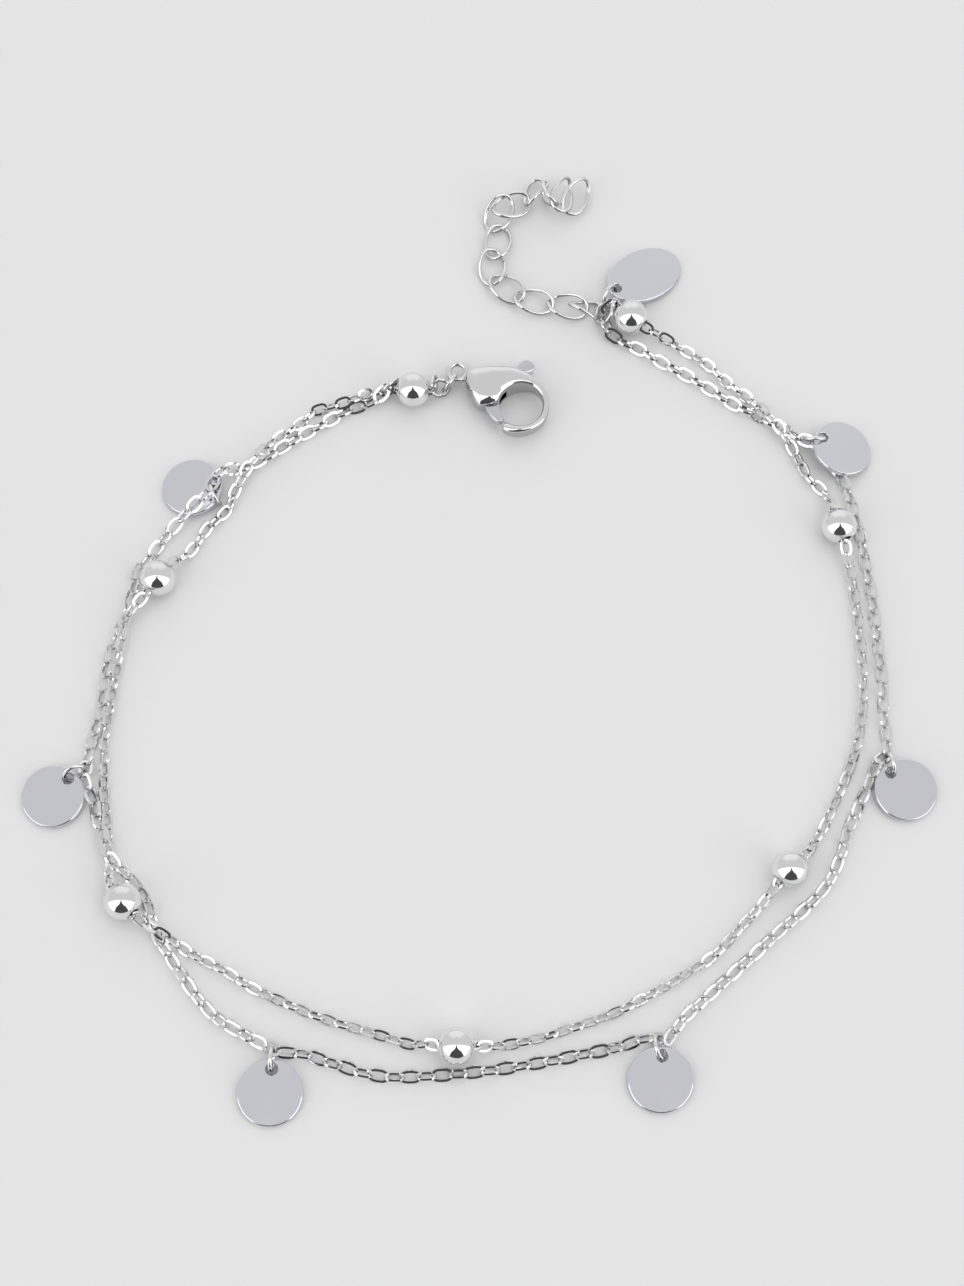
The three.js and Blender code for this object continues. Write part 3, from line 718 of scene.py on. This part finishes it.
@dataclass(frozen=True)
class Steel:
    """One finish of stainless steel. Heights and distances are in metres."""

    name: str
    slot: str
    color: tuple[float, float, float]
    clean: float = 0.05
    dull: float = 0.1
    haze_scale: float = 500.0
    scratch_scale: float = 4000.0
    scratch_depth: float = 2e-6
    wave_scale: float = 500.0
    wave_depth: float = 1e-5
    # How much painted shade darkens the upright flanks; 0 paints none.
    flank_shade_depth: float = 0.0

    def material(self) -> bpy.types.Material:
        """Builds the material the first time, and finds it again after that.

        Returns:
            The material.
        """
        if self.name in bpy.data.materials:
            return bpy.data.materials[self.name]
        material = bpy.data.materials.new(self.name)
        material.use_nodes = True
        bench = NodeBench(material.node_tree)
        limits = {"Scale": self.haze_scale, "Clean": self.clean, "Dull": self.dull}
        haze = self.place(bench, WEAR_AND_SHADE.haze, limits)
        marks = self.place(bench, WEAR_AND_SHADE.scratches, {"Scale": self.scratch_scale})
        waves = self.place(bench, WEAR_AND_SHADE.waves, {"Scale": self.wave_scale})
        relief = {"Height": waves, "Distance": self.wave_depth, "Strength": 1.0}
        slow = bench.add("ShaderNodeBump", inputs=relief).outputs[0]
        relief = {"Height": marks, "Distance": self.scratch_depth, "Strength": 1.0, "Normal": slow}
        fine = bench.add("ShaderNodeBump", inputs=relief).outputs[0]
        color = (*self.color, 1.0)
        # Painted shade: the colour is darkened where faces stand upright.
        if self.flank_shade_depth > 0:
            flank_shade = self.place(bench, WEAR_AND_SHADE.flank_shade, {"Darkening": self.flank_shade_depth})
            tinted = {0: self.color, "Scale": flank_shade}
            color = bench.add("ShaderNodeVectorMath", {"operation": "SCALE"}, tinted).outputs[0]
        look = {"Base Color": color, "Metallic": 1.0, "Roughness": haze, "Normal": fine}
        shader = bench.add("ShaderNodeBsdfPrincipled", inputs=look)
        bench.add("ShaderNodeOutputMaterial", inputs={"Surface": shader.outputs[0]})
        return material

    def place(self, bench: NodeBench, group: bpy.types.NodeTree, values: dict) -> bpy.types.NodeSocket:
        """Puts a shared group in this material, with its own values, and returns its output."""
        node = bench.add("ShaderNodeGroup", {"node_tree": group}, values)
        return node.outputs[0]


# Chain, wire and clasp steel carry painted shade on their upright flanks.
CHAIN_STEEL = Steel("chain steel", "chain_steel", (0.86, 0.86, 0.86), haze_scale=900, flank_shade_depth=0.5)
BEAD_STEEL = Steel(
    "bead steel", "bead_steel", (0.86, 0.86, 0.87), clean=0.04, scratch_scale=3500,
    scratch_depth=1e-6, wave_scale=300, wave_depth=4e-6,
)
PLATE_STEEL = Steel(
    "plate steel", "plate_steel", (0.79, 0.79, 0.85), haze_scale=400, scratch_scale=3000,
    scratch_depth=1e-6, wave_scale=160, wave_depth=8e-6,
)
WIRE_STEEL = Steel(
    "wire steel", "wire_steel", (0.88, 0.88, 0.88), haze_scale=700, wave_scale=600, flank_shade_depth=0.55
)
CLASP_STEEL = Steel(
    "clasp steel", "clasp_steel", (0.84, 0.84, 0.85), dull=0.11, scratch_scale=3500,
    wave_scale=350, wave_depth=2e-5, flank_shade_depth=0.4,
)
LEVER_STEEL = Steel(
    "lever steel", "lever_steel", (0.7, 0.7, 0.73), clean=0.24, dull=0.36, haze_scale=600,
    scratch_scale=5000, scratch_depth=6e-6, wave_depth=2e-5,
)


@dataclass(frozen=True)
class LinkShape:
    """A fine chain link of flattened wire with straight sides and round ends, longest along X."""

    length: float
    width: float
    wire: float
    widening: float = 1.1
    flattening: float = 0.85
    crease: float = 0.6
    bends: int = 12
    corners: int = 4

    @property
    def pitch(self) -> float:
        """The most that two linked neighbours can be apart."""
        return self.length - 2 * self.wire

    @property
    def lead(self) -> float:
        """From the end of a neighbour's wire to this link's middle, drawn tight."""
        return (self.length - self.wire) / 2 - self.wire

    def rest_height(self, roll: float, pitch: float) -> float:
        """How high the middle lies when the link leans on the floor.

        Args:
            roll: The roll in degrees.
            pitch: The pitch in degrees.

        Returns:
            The height in millimetres.
        """
        bend = (self.width - self.wire) / 2
        straight = (self.length - self.width) / 2
        across = math.sin(math.radians(roll)) * math.cos(math.radians(pitch))
        along = math.sin(math.radians(pitch))
        return bend * math.hypot(across, along) + straight * abs(along) + self.wire * self.widening / 2

    def build(self) -> Shape:
        """Bends the wire into the link, as a cage for one level of subdivision.

        Returns:
            The link, with a few dozen faces.
        """
        # The subdivision draws the cage in, so the bends and the wire start larger.
        grow_bend = 8 / (6 + 2 * math.cos(2 * math.pi / self.bends))
        bend = (self.width - self.wire) / 2 * grow_bend
        width, height = self.wire * self.widening, self.wire * self.flattening
        size = Matrix.Diagonal((width / math.sqrt(2), height / math.sqrt(2), 1.0, 1.0))
        straight = (self.length - self.width) / 2
        stations = []
        for i in range(self.bends):
            around = (i + 0.5) / self.bends * 2 * math.pi
            outwards = Vector((math.cos(around), math.sin(around), 0.0))
            middle = bend * outwards + Vector((math.copysign(straight, outwards.x), 0.0, 0.0))
            along = UP.cross(outwards)
            turn = Matrix((outwards, UP, along)).transposed().to_4x4()
            stations.append(Section(Matrix.Translation(middle) @ turn @ size))
        shape = Shape()
        shape.bar(stations, self.corners, closed=True)
        shape.face_out()
        layer = shape.bm.edges.layers.float.new("crease_edge")
        for edge in shape.rims(RIM_ANGLE):
            edge[layer] = self.crease
            edge.smooth = False
        return shape


@dataclass
class Strand:
    """One strand of fine chain: whole links where it hangs in rings, and real links between."""

    name: str
    hooks: tuple[dict, ...]
    runs: tuple[tuple, ...]
    link: LinkShape
    rolls: tuple[float, float]
    roll_spread: float
    seed: int
    hook: LinkShape = LinkShape(length=1.9, width=1.4, wire=0.28)
    flattest: float = 36.0
    sink: float = 0.15
    lift_reach: float = 0.5
    sway: float = 3.0

    def build(self) -> None:
        """Makes every link of the strand and joins them in one piece."""
        chance = random.Random(self.seed)
        shape = Shape()
        hook = self.hook.build()
        for pose in self.hooks:
            shape.add_copy(hook, Pose(**pose).matrix())
        link = self.link.build()
        for run in self.runs:
            self.fill_run(shape, link, Route(run), chance)
        piece = shape.finish(self.name, CHAIN_STEEL, Body.CHAIN, self.name)
        smooth = piece.modifiers.new("smooth", "SUBSURF")
        smooth.levels = smooth.render_levels = 1

    def fill_run(self, shape: Shape, link: Shape, route: Route, chance: random.Random) -> None:
        """Lays links along a run, each one turned against the last.

        Args:
            shape: The strand being joined.
            link: The link to copy.
            route: The run's path.
            chance: The strand's own random numbers.
        """
        room = route.length - 2 * self.link.lead
        gaps = max(0, math.ceil(room / self.link.pitch))
        for i in range(gaps + 1):
            mark = self.link.lead + room * (i / gaps if gaps else 0.5)
            middle = route.at(mark)
            along = route.at(mark + self.link.pitch / 2) - route.at(mark - self.link.pitch / 2)
            roll = self.rolls[i % 2] + chance.uniform(-self.roll_spread, self.roll_spread)
            lifted = min(1.0, abs(middle.z - REST_HEIGHT) / self.lift_reach)
            most = 90 + (self.flattest - 90) * lifted
            roll = max(-most, min(most, roll))
            pitch = -math.degrees(math.atan2(along.z, math.hypot(along.x, along.y)))
            yaw = math.degrees(math.atan2(along.y, along.x)) + chance.uniform(-self.sway, self.sway)
            rest = self.link.rest_height(roll, pitch)
            low = max(rest, middle.z - self.sink)
            height = max(low, min(middle.z, rest + middle.z - REST_HEIGHT))
            pose = Pose(middle.x, middle.y, height, yaw, pitch, roll)
            shape.add_copy(link, pose.matrix())


@dataclass
class Beads:
    """Round beads, drilled through, each spun from its profile about the bore."""

    diameter: float = 3.5
    bore: float = 1.3
    lip: float = 0.12
    lip_angle: float = 40.0
    arc_steps: int = 22
    sides: int = 44

    def profile(self, shape: Shape) -> None:
        """Draws the outside from one mouth of the bore to the other, and back along the bore."""
        radius = self.diameter / 2
        mouth = math.asin(self.bore / self.diameter)
        points = []
        for i in range(self.arc_steps + 1):
            angle = mouth + (math.pi - 2 * mouth) * i / self.arc_steps
            points.append(Vector((radius * math.cos(angle), 0.0, radius * math.sin(angle))))
        verts = [shape.bm.verts.new(point) for point in points]
        edges = [shape.bm.edges.new(pair) for pair in zip(verts, [*verts[1:], verts[0]])]
        bmesh.ops.spin(
            shape.bm,
            geom=verts + edges,
            cent=(0, 0, 0),
            axis=(1, 0, 0),
            angle=2 * math.pi,
            steps=self.sides,
            use_merge=True,
        )
        shape.face_out()

    def build(self) -> None:
        """Makes and dresses every bead."""
        for number, bead in enumerate(BEADS, 1):
            shape = Shape()
            self.profile(shape)
            shape.round_edges(shape.rims(self.lip_angle), self.lip)
            shape.lay(Pose(**bead).matrix())
            name = f"bead_{number}"
            shape.finish(name, BEAD_STEEL, Body.CHAIN, name)


@dataclass
class Plate:
    """A flat stamped oval with a round hole near one end and softened edges."""

    length: float
    width: float
    hole_at: float
    hole: float = 1.0
    thickness: float = 0.5
    edge: float = 0.11
    sides: int = 64

    def build(self, name: str, laid: dict) -> None:
        """Stamps the plate and lays it where its CAD node lies.

        Args:
            name: The piece's and the node's name.
            laid: Its centre, where the hole lies, the tilt and its high side.
        """
        shape = Shape()
        outline = Matrix.Diagonal((self.length / 2, self.width / 2, 1.0, 1.0))
        outside = shape.section(Section(outline), self.sides)
        mouth = Matrix.Diagonal((self.hole / 2, self.hole / 2, 1.0, 1.0))
        hole = Matrix.Translation((self.hole_at, 0.0, 0.0)) @ mouth
        inside = shape.section(Section(hole), self.sides)
        sheet = bmesh.ops.bridge_loops(shape.bm, edges=outside + inside)["faces"]
        shape.thicken(sheet, self.thickness)
        shape.round_edges(shape.rims(RIM_ANGLE), self.edge)
        shape.keep_level()
        low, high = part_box(name)
        height = (low.z + high.z) / 2 / MM
        turn = (
            Pose(laid["x"], laid["y"], height, yaw=laid["high"], pitch=-laid["tilt"]).matrix()
            @ Pose(0.0, 0.0, 0.0, yaw=laid["hole"] - laid["high"]).turn()
        )
        shape.lay(turn)
        shape.finish(name, PLATE_STEEL, Body.CHAIN, name)


@dataclass
class Plates:
    """The six small discs and the larger oval tag, all bare."""

    disc: Plate = field(default_factory=lambda: Plate(length=6.0, width=6.0, hole_at=2.15))
    tag: Plate = field(default_factory=lambda: Plate(length=8.3, width=5.7, hole_at=3.35))

    def build(self) -> None:
        """Makes and dresses every plate."""
        for number, laid in enumerate(DISCS, 1):
            self.disc.build(f"disc_{number}", laid)
        self.tag.build("end_tag", END_TAG)


@dataclass
class WireLoop:
    """A closed oval of round wire. A twist lifts its corners in turn, as in a curb link."""

    length: float
    width: float
    wire: float
    twist: float = 0.0
    seam: float = 0.0
    bends: int = 44
    corners: int = 12

    def station(self, around: float) -> Section:
        """Places one section of the wire.

        Args:
            around: The angle round the loop.

        Returns:
            The section.
        """
        half_length = (self.length - self.wire) / 2
        half_width = (self.width - self.wire) / 2
        middle = Vector(
            (
                half_length * math.cos(around),
                half_width * math.sin(around),
                self.twist * math.sin(2 * around),
            )
        )
        along = Vector(
            (
                -half_length * math.sin(around),
                half_width * math.cos(around),
                2 * self.twist * math.cos(2 * around),
            )
        ).normalized()
        side = along.cross(UP).normalized()
        above = side.cross(along)
        turn = Matrix((side, above, along)).transposed().to_4x4()
        size = Matrix.Diagonal((self.wire / 2, self.wire / 2, 1.0, 1.0))
        return Section(Matrix.Translation(middle) @ turn @ size)

    def build(self) -> Shape:
        """Bends the wire, leaving the hairline seam of a jump ring if it has one.

        Returns:
            The loop, lying flat.
        """
        gap = self.seam / self.length
        closed = gap == 0
        count = self.bends if closed else self.bends + 1
        turns = [gap + (2 * math.pi - 2 * gap) * i / self.bends for i in range(count)]
        shape = Shape()
        shape.bar([self.station(turn) for turn in turns], self.corners, closed)
        shape.face_out()
        shape.mark_sharp(CREASE_ANGLE)
        return shape


@dataclass
class Rings:
    """The jump rings of the discs, and those that gather the strands."""

    wire: float = 0.4
    seam: float = 0.05

    def build(self) -> None:
        """Makes and dresses every ring."""
        for ring in (*DISC_RINGS, *JOINING_RINGS):
            shape = WireLoop(ring["diameter"], ring["diameter"], self.wire, seam=self.seam).build()
            pose = Pose(ring["x"], ring["y"], ring["z"], yaw=ring["yaw"], roll=ring["lean"])
            shape.lay(pose.matrix())
            shape.finish(ring["name"], WIRE_STEEL, Body.CHAIN, ring["name"])


@dataclass
class Extender:
    """Twelve larger twisted oval links, in a loose curl."""

    link: WireLoop = field(
        default_factory=lambda: WireLoop(length=4.4, width=3.0, wire=0.4, twist=0.3)
    )

    def build(self) -> None:
        """Makes and dresses every link."""
        for number, pose in enumerate(EXTENDER, 1):
            shape = self.link.build()
            shape.lay(Pose(**pose).matrix())
            name = f"extender_link_{number:02d}"
            shape.finish(name, WIRE_STEEL, Body.CHAIN, name)


@dataclass
class Clasp:
    """The lobster clasp: a cast hook with shoulder, cheeks, rivet and eye, and its sprung lever."""

    middle: Pose = Pose(3.8, 24.7, 1.4)
    squareness: float = 2.8
    sides: int = 32
    row_steps: int = 4
    end_edge: float = 0.2
    crease: float = 35.0
    eye: Pose = Pose(-2.45, 28.5, 1.4)
    eye_diameter: float = 2.35
    eye_wire: float = 0.55
    pivot: Pose = Pose(1.0, 27.1, 1.4)
    pin_sides: int = 24
    rivet: float = 0.6
    rivet_height: float = 2.4
    lever_hole: float = 1.0
    lever_thickness: float = 0.9
    clearance: float = 0.15
    opening: tuple[float, ...] = (0, 5, 10, 15, 20, 25, 30)
    lever_edge: float = 0.16

    def rows(self) -> list[dict]:
        """Passes smooth curves through the hook's rows.

        Returns:
            Rows at finer steps, from the tip to the root.
        """
        held = [CLASP_ROWS[0], *CLASP_ROWS, CLASP_ROWS[-1]]
        fine = []
        for before, near, far, after in zip(held, held[1:], held[2:], held[3:]):
            span = far["angle"] - near["angle"]
            for step in range(self.row_steps):
                t = step / self.row_steps
                start, leaving, end, arriving = cubic_weights(t)
                row = {"angle": near["angle"] + t * span}
                for key in ("inner", "outer", "half", "lip"):
                    leave = (far[key] - before[key]) / (far["angle"] - before["angle"]) * span
                    arrive = (after[key] - near[key]) / (after["angle"] - near["angle"]) * span
                    row[key] = start * near[key] + leaving * leave + end * far[key] + arriving * arrive
                fine.append(row)
        return [*fine, CLASP_ROWS[-1]]

    def hook(self) -> Shape:
        """Bends the tapering bar of the hook and rounds its two ends.

        Returns:
            The hook, about the middle of its opening.
        """
        stations = []
        for row in self.rows():
            angle = math.radians(row["angle"])
            outwards = Vector((math.cos(angle), math.sin(angle), 0.0))
            turn = Matrix((outwards, UP, outwards.cross(UP))).transposed().to_4x4()
            size = Matrix.Diagonal(((row["outer"] - row["inner"]) / 2, row["half"], 1.0, 1.0))
            place = Matrix.Translation(outwards * (row["inner"] + row["outer"]) / 2)
            stations.append(Section(place @ turn @ size, self.squareness, row["lip"]))
        shape = Shape()
        ends = shape.bar(stations, self.sides, closed=False)
        shape.round_edges([*ends[0], *ends[1]], self.end_edge)
        shape.face_out()
        return shape

    def lever(self, margin: float) -> Shape:
        """Cuts the lever's outline out of sheet.

        Args:
            margin: How much larger it is all round, for the slot that it swings in.

        Returns:
            The lever about its rivet.
        """
        shape = Shape()
        verts = [
            shape.bm.verts.new((x - self.pivot.x, y - self.pivot.y, 0.0)) for x, y in LEVER_OUTLINE
        ]
        face = shape.bm.faces.new(verts)
        if margin > 0:
            bmesh.ops.inset_region(shape.bm, faces=[face], thickness=margin, use_outset=True)
            bmesh.ops.dissolve_faces(shape.bm, faces=shape.bm.faces)
        shape.thicken(list(shape.bm.faces), self.lever_thickness + 2 * margin)
        return shape

    def pin(self, diameter: float, height: float) -> Shape:
        """Turns a plain round pin about Z.

        Args:
            diameter: Its diameter.
            height: Its length.

        Returns:
            The pin.
        """
        shape = Shape()
        radius = diameter / 2
        bmesh.ops.create_cone(
            shape.bm,
            cap_ends=True,
            segments=self.pin_sides,
            radius1=radius,
            radius2=radius,
            depth=height,
        )
        return shape

    def build_body(self) -> None:
        """Makes the hook, cuts the lever's slot, and joins the rivet and the eye."""
        body = Shape()
        body.add_copy(self.hook(), self.middle.matrix())
        for angle in self.opening:
            slot = Shape()
            slot.add_copy(self.lever(self.clearance), self.pivot.matrix() @ Pose(0, 0, 0, yaw=angle).turn())
            body.carve(slot, "DIFFERENCE")
        rivet = Shape()
        rivet.add_copy(self.pin(self.rivet, self.rivet_height), self.pivot.matrix())
        body.carve(rivet, "UNION")
        eye = Shape()
        ring = WireLoop(self.eye_diameter, self.eye_diameter, self.eye_wire).build()
        eye.add_copy(ring, self.eye.matrix())
        body.carve(eye, "UNION")
        body.face_out()
        body.mark_sharp(self.crease)
        body.finish("clasp_body", CLASP_STEEL, Body.CHAIN, "clasp_body")

    def build_lever(self) -> None:
        """Makes the lever with its soft edges and the hole for the rivet."""
        blank = self.lever(0.0)
        blank.round_edges(blank.rims(RIM_ANGLE), self.lever_edge)
        blank.carve(self.pin(self.lever_hole, self.lever_thickness * 2), "DIFFERENCE")
        lever = Shape()
        lever.add_copy(blank, self.pivot.matrix())
        lever.face_out()
        lever.mark_sharp(CREASE_ANGLE)
        lever.keep_level()
        lever.finish("clasp_lever", LEVER_STEEL, Body.LEVER, "clasp_lever")

    def build(self) -> None:
        """Makes and dresses the clasp."""
        self.build_body()
        self.build_lever()


@dataclass
class Studio:
    """The pale floor, the soft light and the camera at the photograph's angle.

    The dome is bright in front, dimmer behind with one soft panel, and has a dark gap in front that
    narrows upwards. Pairs say where each part starts and where it is full: the panel's width and
    all heights in degrees, and the front's edge as a share of the dome's radius.
    """

    floor_half: float = 1.5
    floor_color: tuple[float, float, float] = (0.8, 0.8, 0.8)
    floor_roughness: float = 0.6
    elevation: float = 70.0
    distance: float = 0.231
    focal_pixels: float = 2380.0
    image_height: float = 1286.0
    sensor: float = 36.0
    sun_strength: float = 0.45
    sun_spread: float = 60.0
    sun_tilt: tuple[float, float] = (-20.0, 15.0)
    front_light: float = 1.45
    front_edge: tuple[float, float] = (-0.06, -0.12)
    back_light: float = 0.68
    panel_light: float = 0.22
    panel_width: tuple[float, float] = (50.0, 20.0)
    panel_height: tuple[float, float] = (60.0, 35.0)
    gap_width: float = 35.0
    gap_narrowing: float = 22.0
    gap_rise: tuple[float, float] = (30.0, 76.0)
    gap_edge: float = 1.5
    gap_top: tuple[float, float] = (84.0, 80.0)
    gap_depth: float = 0.95

    def build_floor(self) -> None:
        """Lays the floor."""
        shape = bmesh.new()
        bmesh.ops.create_grid(shape, x_segments=1, y_segments=1, size=self.floor_half)
        mesh = bpy.data.meshes.new("floor")
        shape.to_mesh(mesh)
        shape.free()
        floor = bpy.data.objects.new("floor", mesh)
        bpy.context.scene.collection.objects.link(floor)
        material = bpy.data.materials.new("pale floor")
        material.use_nodes = True
        shader = material.node_tree.nodes["Principled BSDF"]
        shader.inputs["Base Color"].default_value = (*self.floor_color, 1.0)
        shader.inputs["Roughness"].default_value = self.floor_roughness
        mesh.materials.append(material)

    def build_world(self) -> None:
        """Paints the dome of soft light that the polished steel mirrors."""
        world = bpy.data.worlds.new("studio dome")
        bpy.context.scene.world = world
        world.use_nodes = True
        bench = NodeBench(world.node_tree)
        way = bench.add("ShaderNodeTexCoord").outputs["Generated"]
        x, y, z = bench.add("ShaderNodeSeparateXYZ", inputs={0: way}).outputs
        elevation = bench.math("DEGREES", bench.math("ARCSINE", z))
        from_front = bench.math("MULTIPLY", y, -1.0)
        azimuth = bench.math("ABSOLUTE", bench.math("DEGREES", bench.math("ARCTAN2", x, from_front)))
        behind = bench.math("SUBTRACT", 180.0, azimuth)
        front = bench.step(y, *self.front_edge)
        beside = bench.step(behind, *self.panel_width)
        panel = bench.math("MULTIPLY", beside, bench.step(elevation, *self.panel_height))
        back = bench.math("MULTIPLY_ADD", panel, self.panel_light, self.back_light)
        lift = bench.math("SUBTRACT", self.front_light, back)
        lit = bench.math("MULTIPLY_ADD", front, lift, back)
        narrowing = bench.math("MULTIPLY", bench.step(elevation, *self.gap_rise), -self.gap_narrowing)
        width = bench.math("ADD", narrowing, self.gap_width)
        inside = bench.step(bench.math("SUBTRACT", width, azimuth), -self.gap_edge, self.gap_edge)
        gap = bench.math("MULTIPLY", inside, bench.step(elevation, *self.gap_top))
        shade = bench.math("SUBTRACT", 1.0, bench.math("MULTIPLY", gap, self.gap_depth))
        light = {"Color": (1.0, 1.0, 1.0, 1.0), "Strength": bench.math("MULTIPLY", lit, shade)}
        background = bench.add("ShaderNodeBackground", inputs=light)
        bench.add("ShaderNodeOutputWorld", inputs={"Surface": background.outputs[0]})

    def build_sun(self) -> None:
        """Adds the broad overhead light that gives the floor its soft shadows."""
        sun = bpy.data.lights.new("broad light", "SUN")
        sun.energy = self.sun_strength
        sun.angle = math.radians(self.sun_spread)
        lamp = bpy.data.objects.new("broad light", sun)
        lamp.rotation_euler = (*map(math.radians, self.sun_tilt), 0.0)
        lamp.visible_glossy = False
        bpy.context.scene.collection.objects.link(lamp)

    def build_camera(self) -> None:
        """Sets the camera on the middle of the layout, at the photograph's elevation."""
        camera = bpy.data.cameras.new("camera")
        camera.sensor_width = self.sensor
        camera.lens = self.sensor * self.focal_pixels / self.image_height
        camera.clip_start = 0.01
        tilt = math.radians(90 - self.elevation)
        place = LAYOUT_SHIFT * MM + self.distance * Vector((0.0, -math.sin(tilt), math.cos(tilt)))
        holder = bpy.data.objects.new("camera", camera)
        holder.location = place
        holder.rotation_euler = (tilt, 0.0, 0.0)
        bpy.context.scene.collection.objects.link(holder)
        bpy.context.scene.camera = holder

    def build(self) -> None:
        """Sets up the whole studio."""
        bpy.context.scene.view_settings.view_transform = "Standard"
        self.build_camera()
        self.build_floor()
        self.build_world()
        self.build_sun()


def corners(box: tuple) -> list[list[float]]:
    """Writes a box's two corners as plain lists."""
    return [[float(value) for value in corner] for corner in box]


def main() -> None:
    """Builds every sub-assembly of the anklet, and the studio round it."""
    logging.basicConfig(level=logging.INFO, format="%(message)s")
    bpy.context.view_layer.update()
    Studio().build()
    Strand(
        "bead_strand", BEAD_STRAND_HOOKS, BEAD_STRAND_RUNS,
        link=LinkShape(length=1.74, width=1.24, wire=0.24), rolls=(44, -46), roll_spread=9, seed=3,
    ).build()
    Strand(
        "disc_strand", DISC_STRAND_HOOKS, DISC_STRAND_RUNS,
        link=LinkShape(length=1.98, width=1.4, wire=0.25), rolls=(42, -47), roll_spread=5, seed=8,
    ).build()
    Beads().build()
    Plates().build()
    Rings().build()
    Extender().build()
    Clasp().build()


if __name__ == "__main__":
    main()
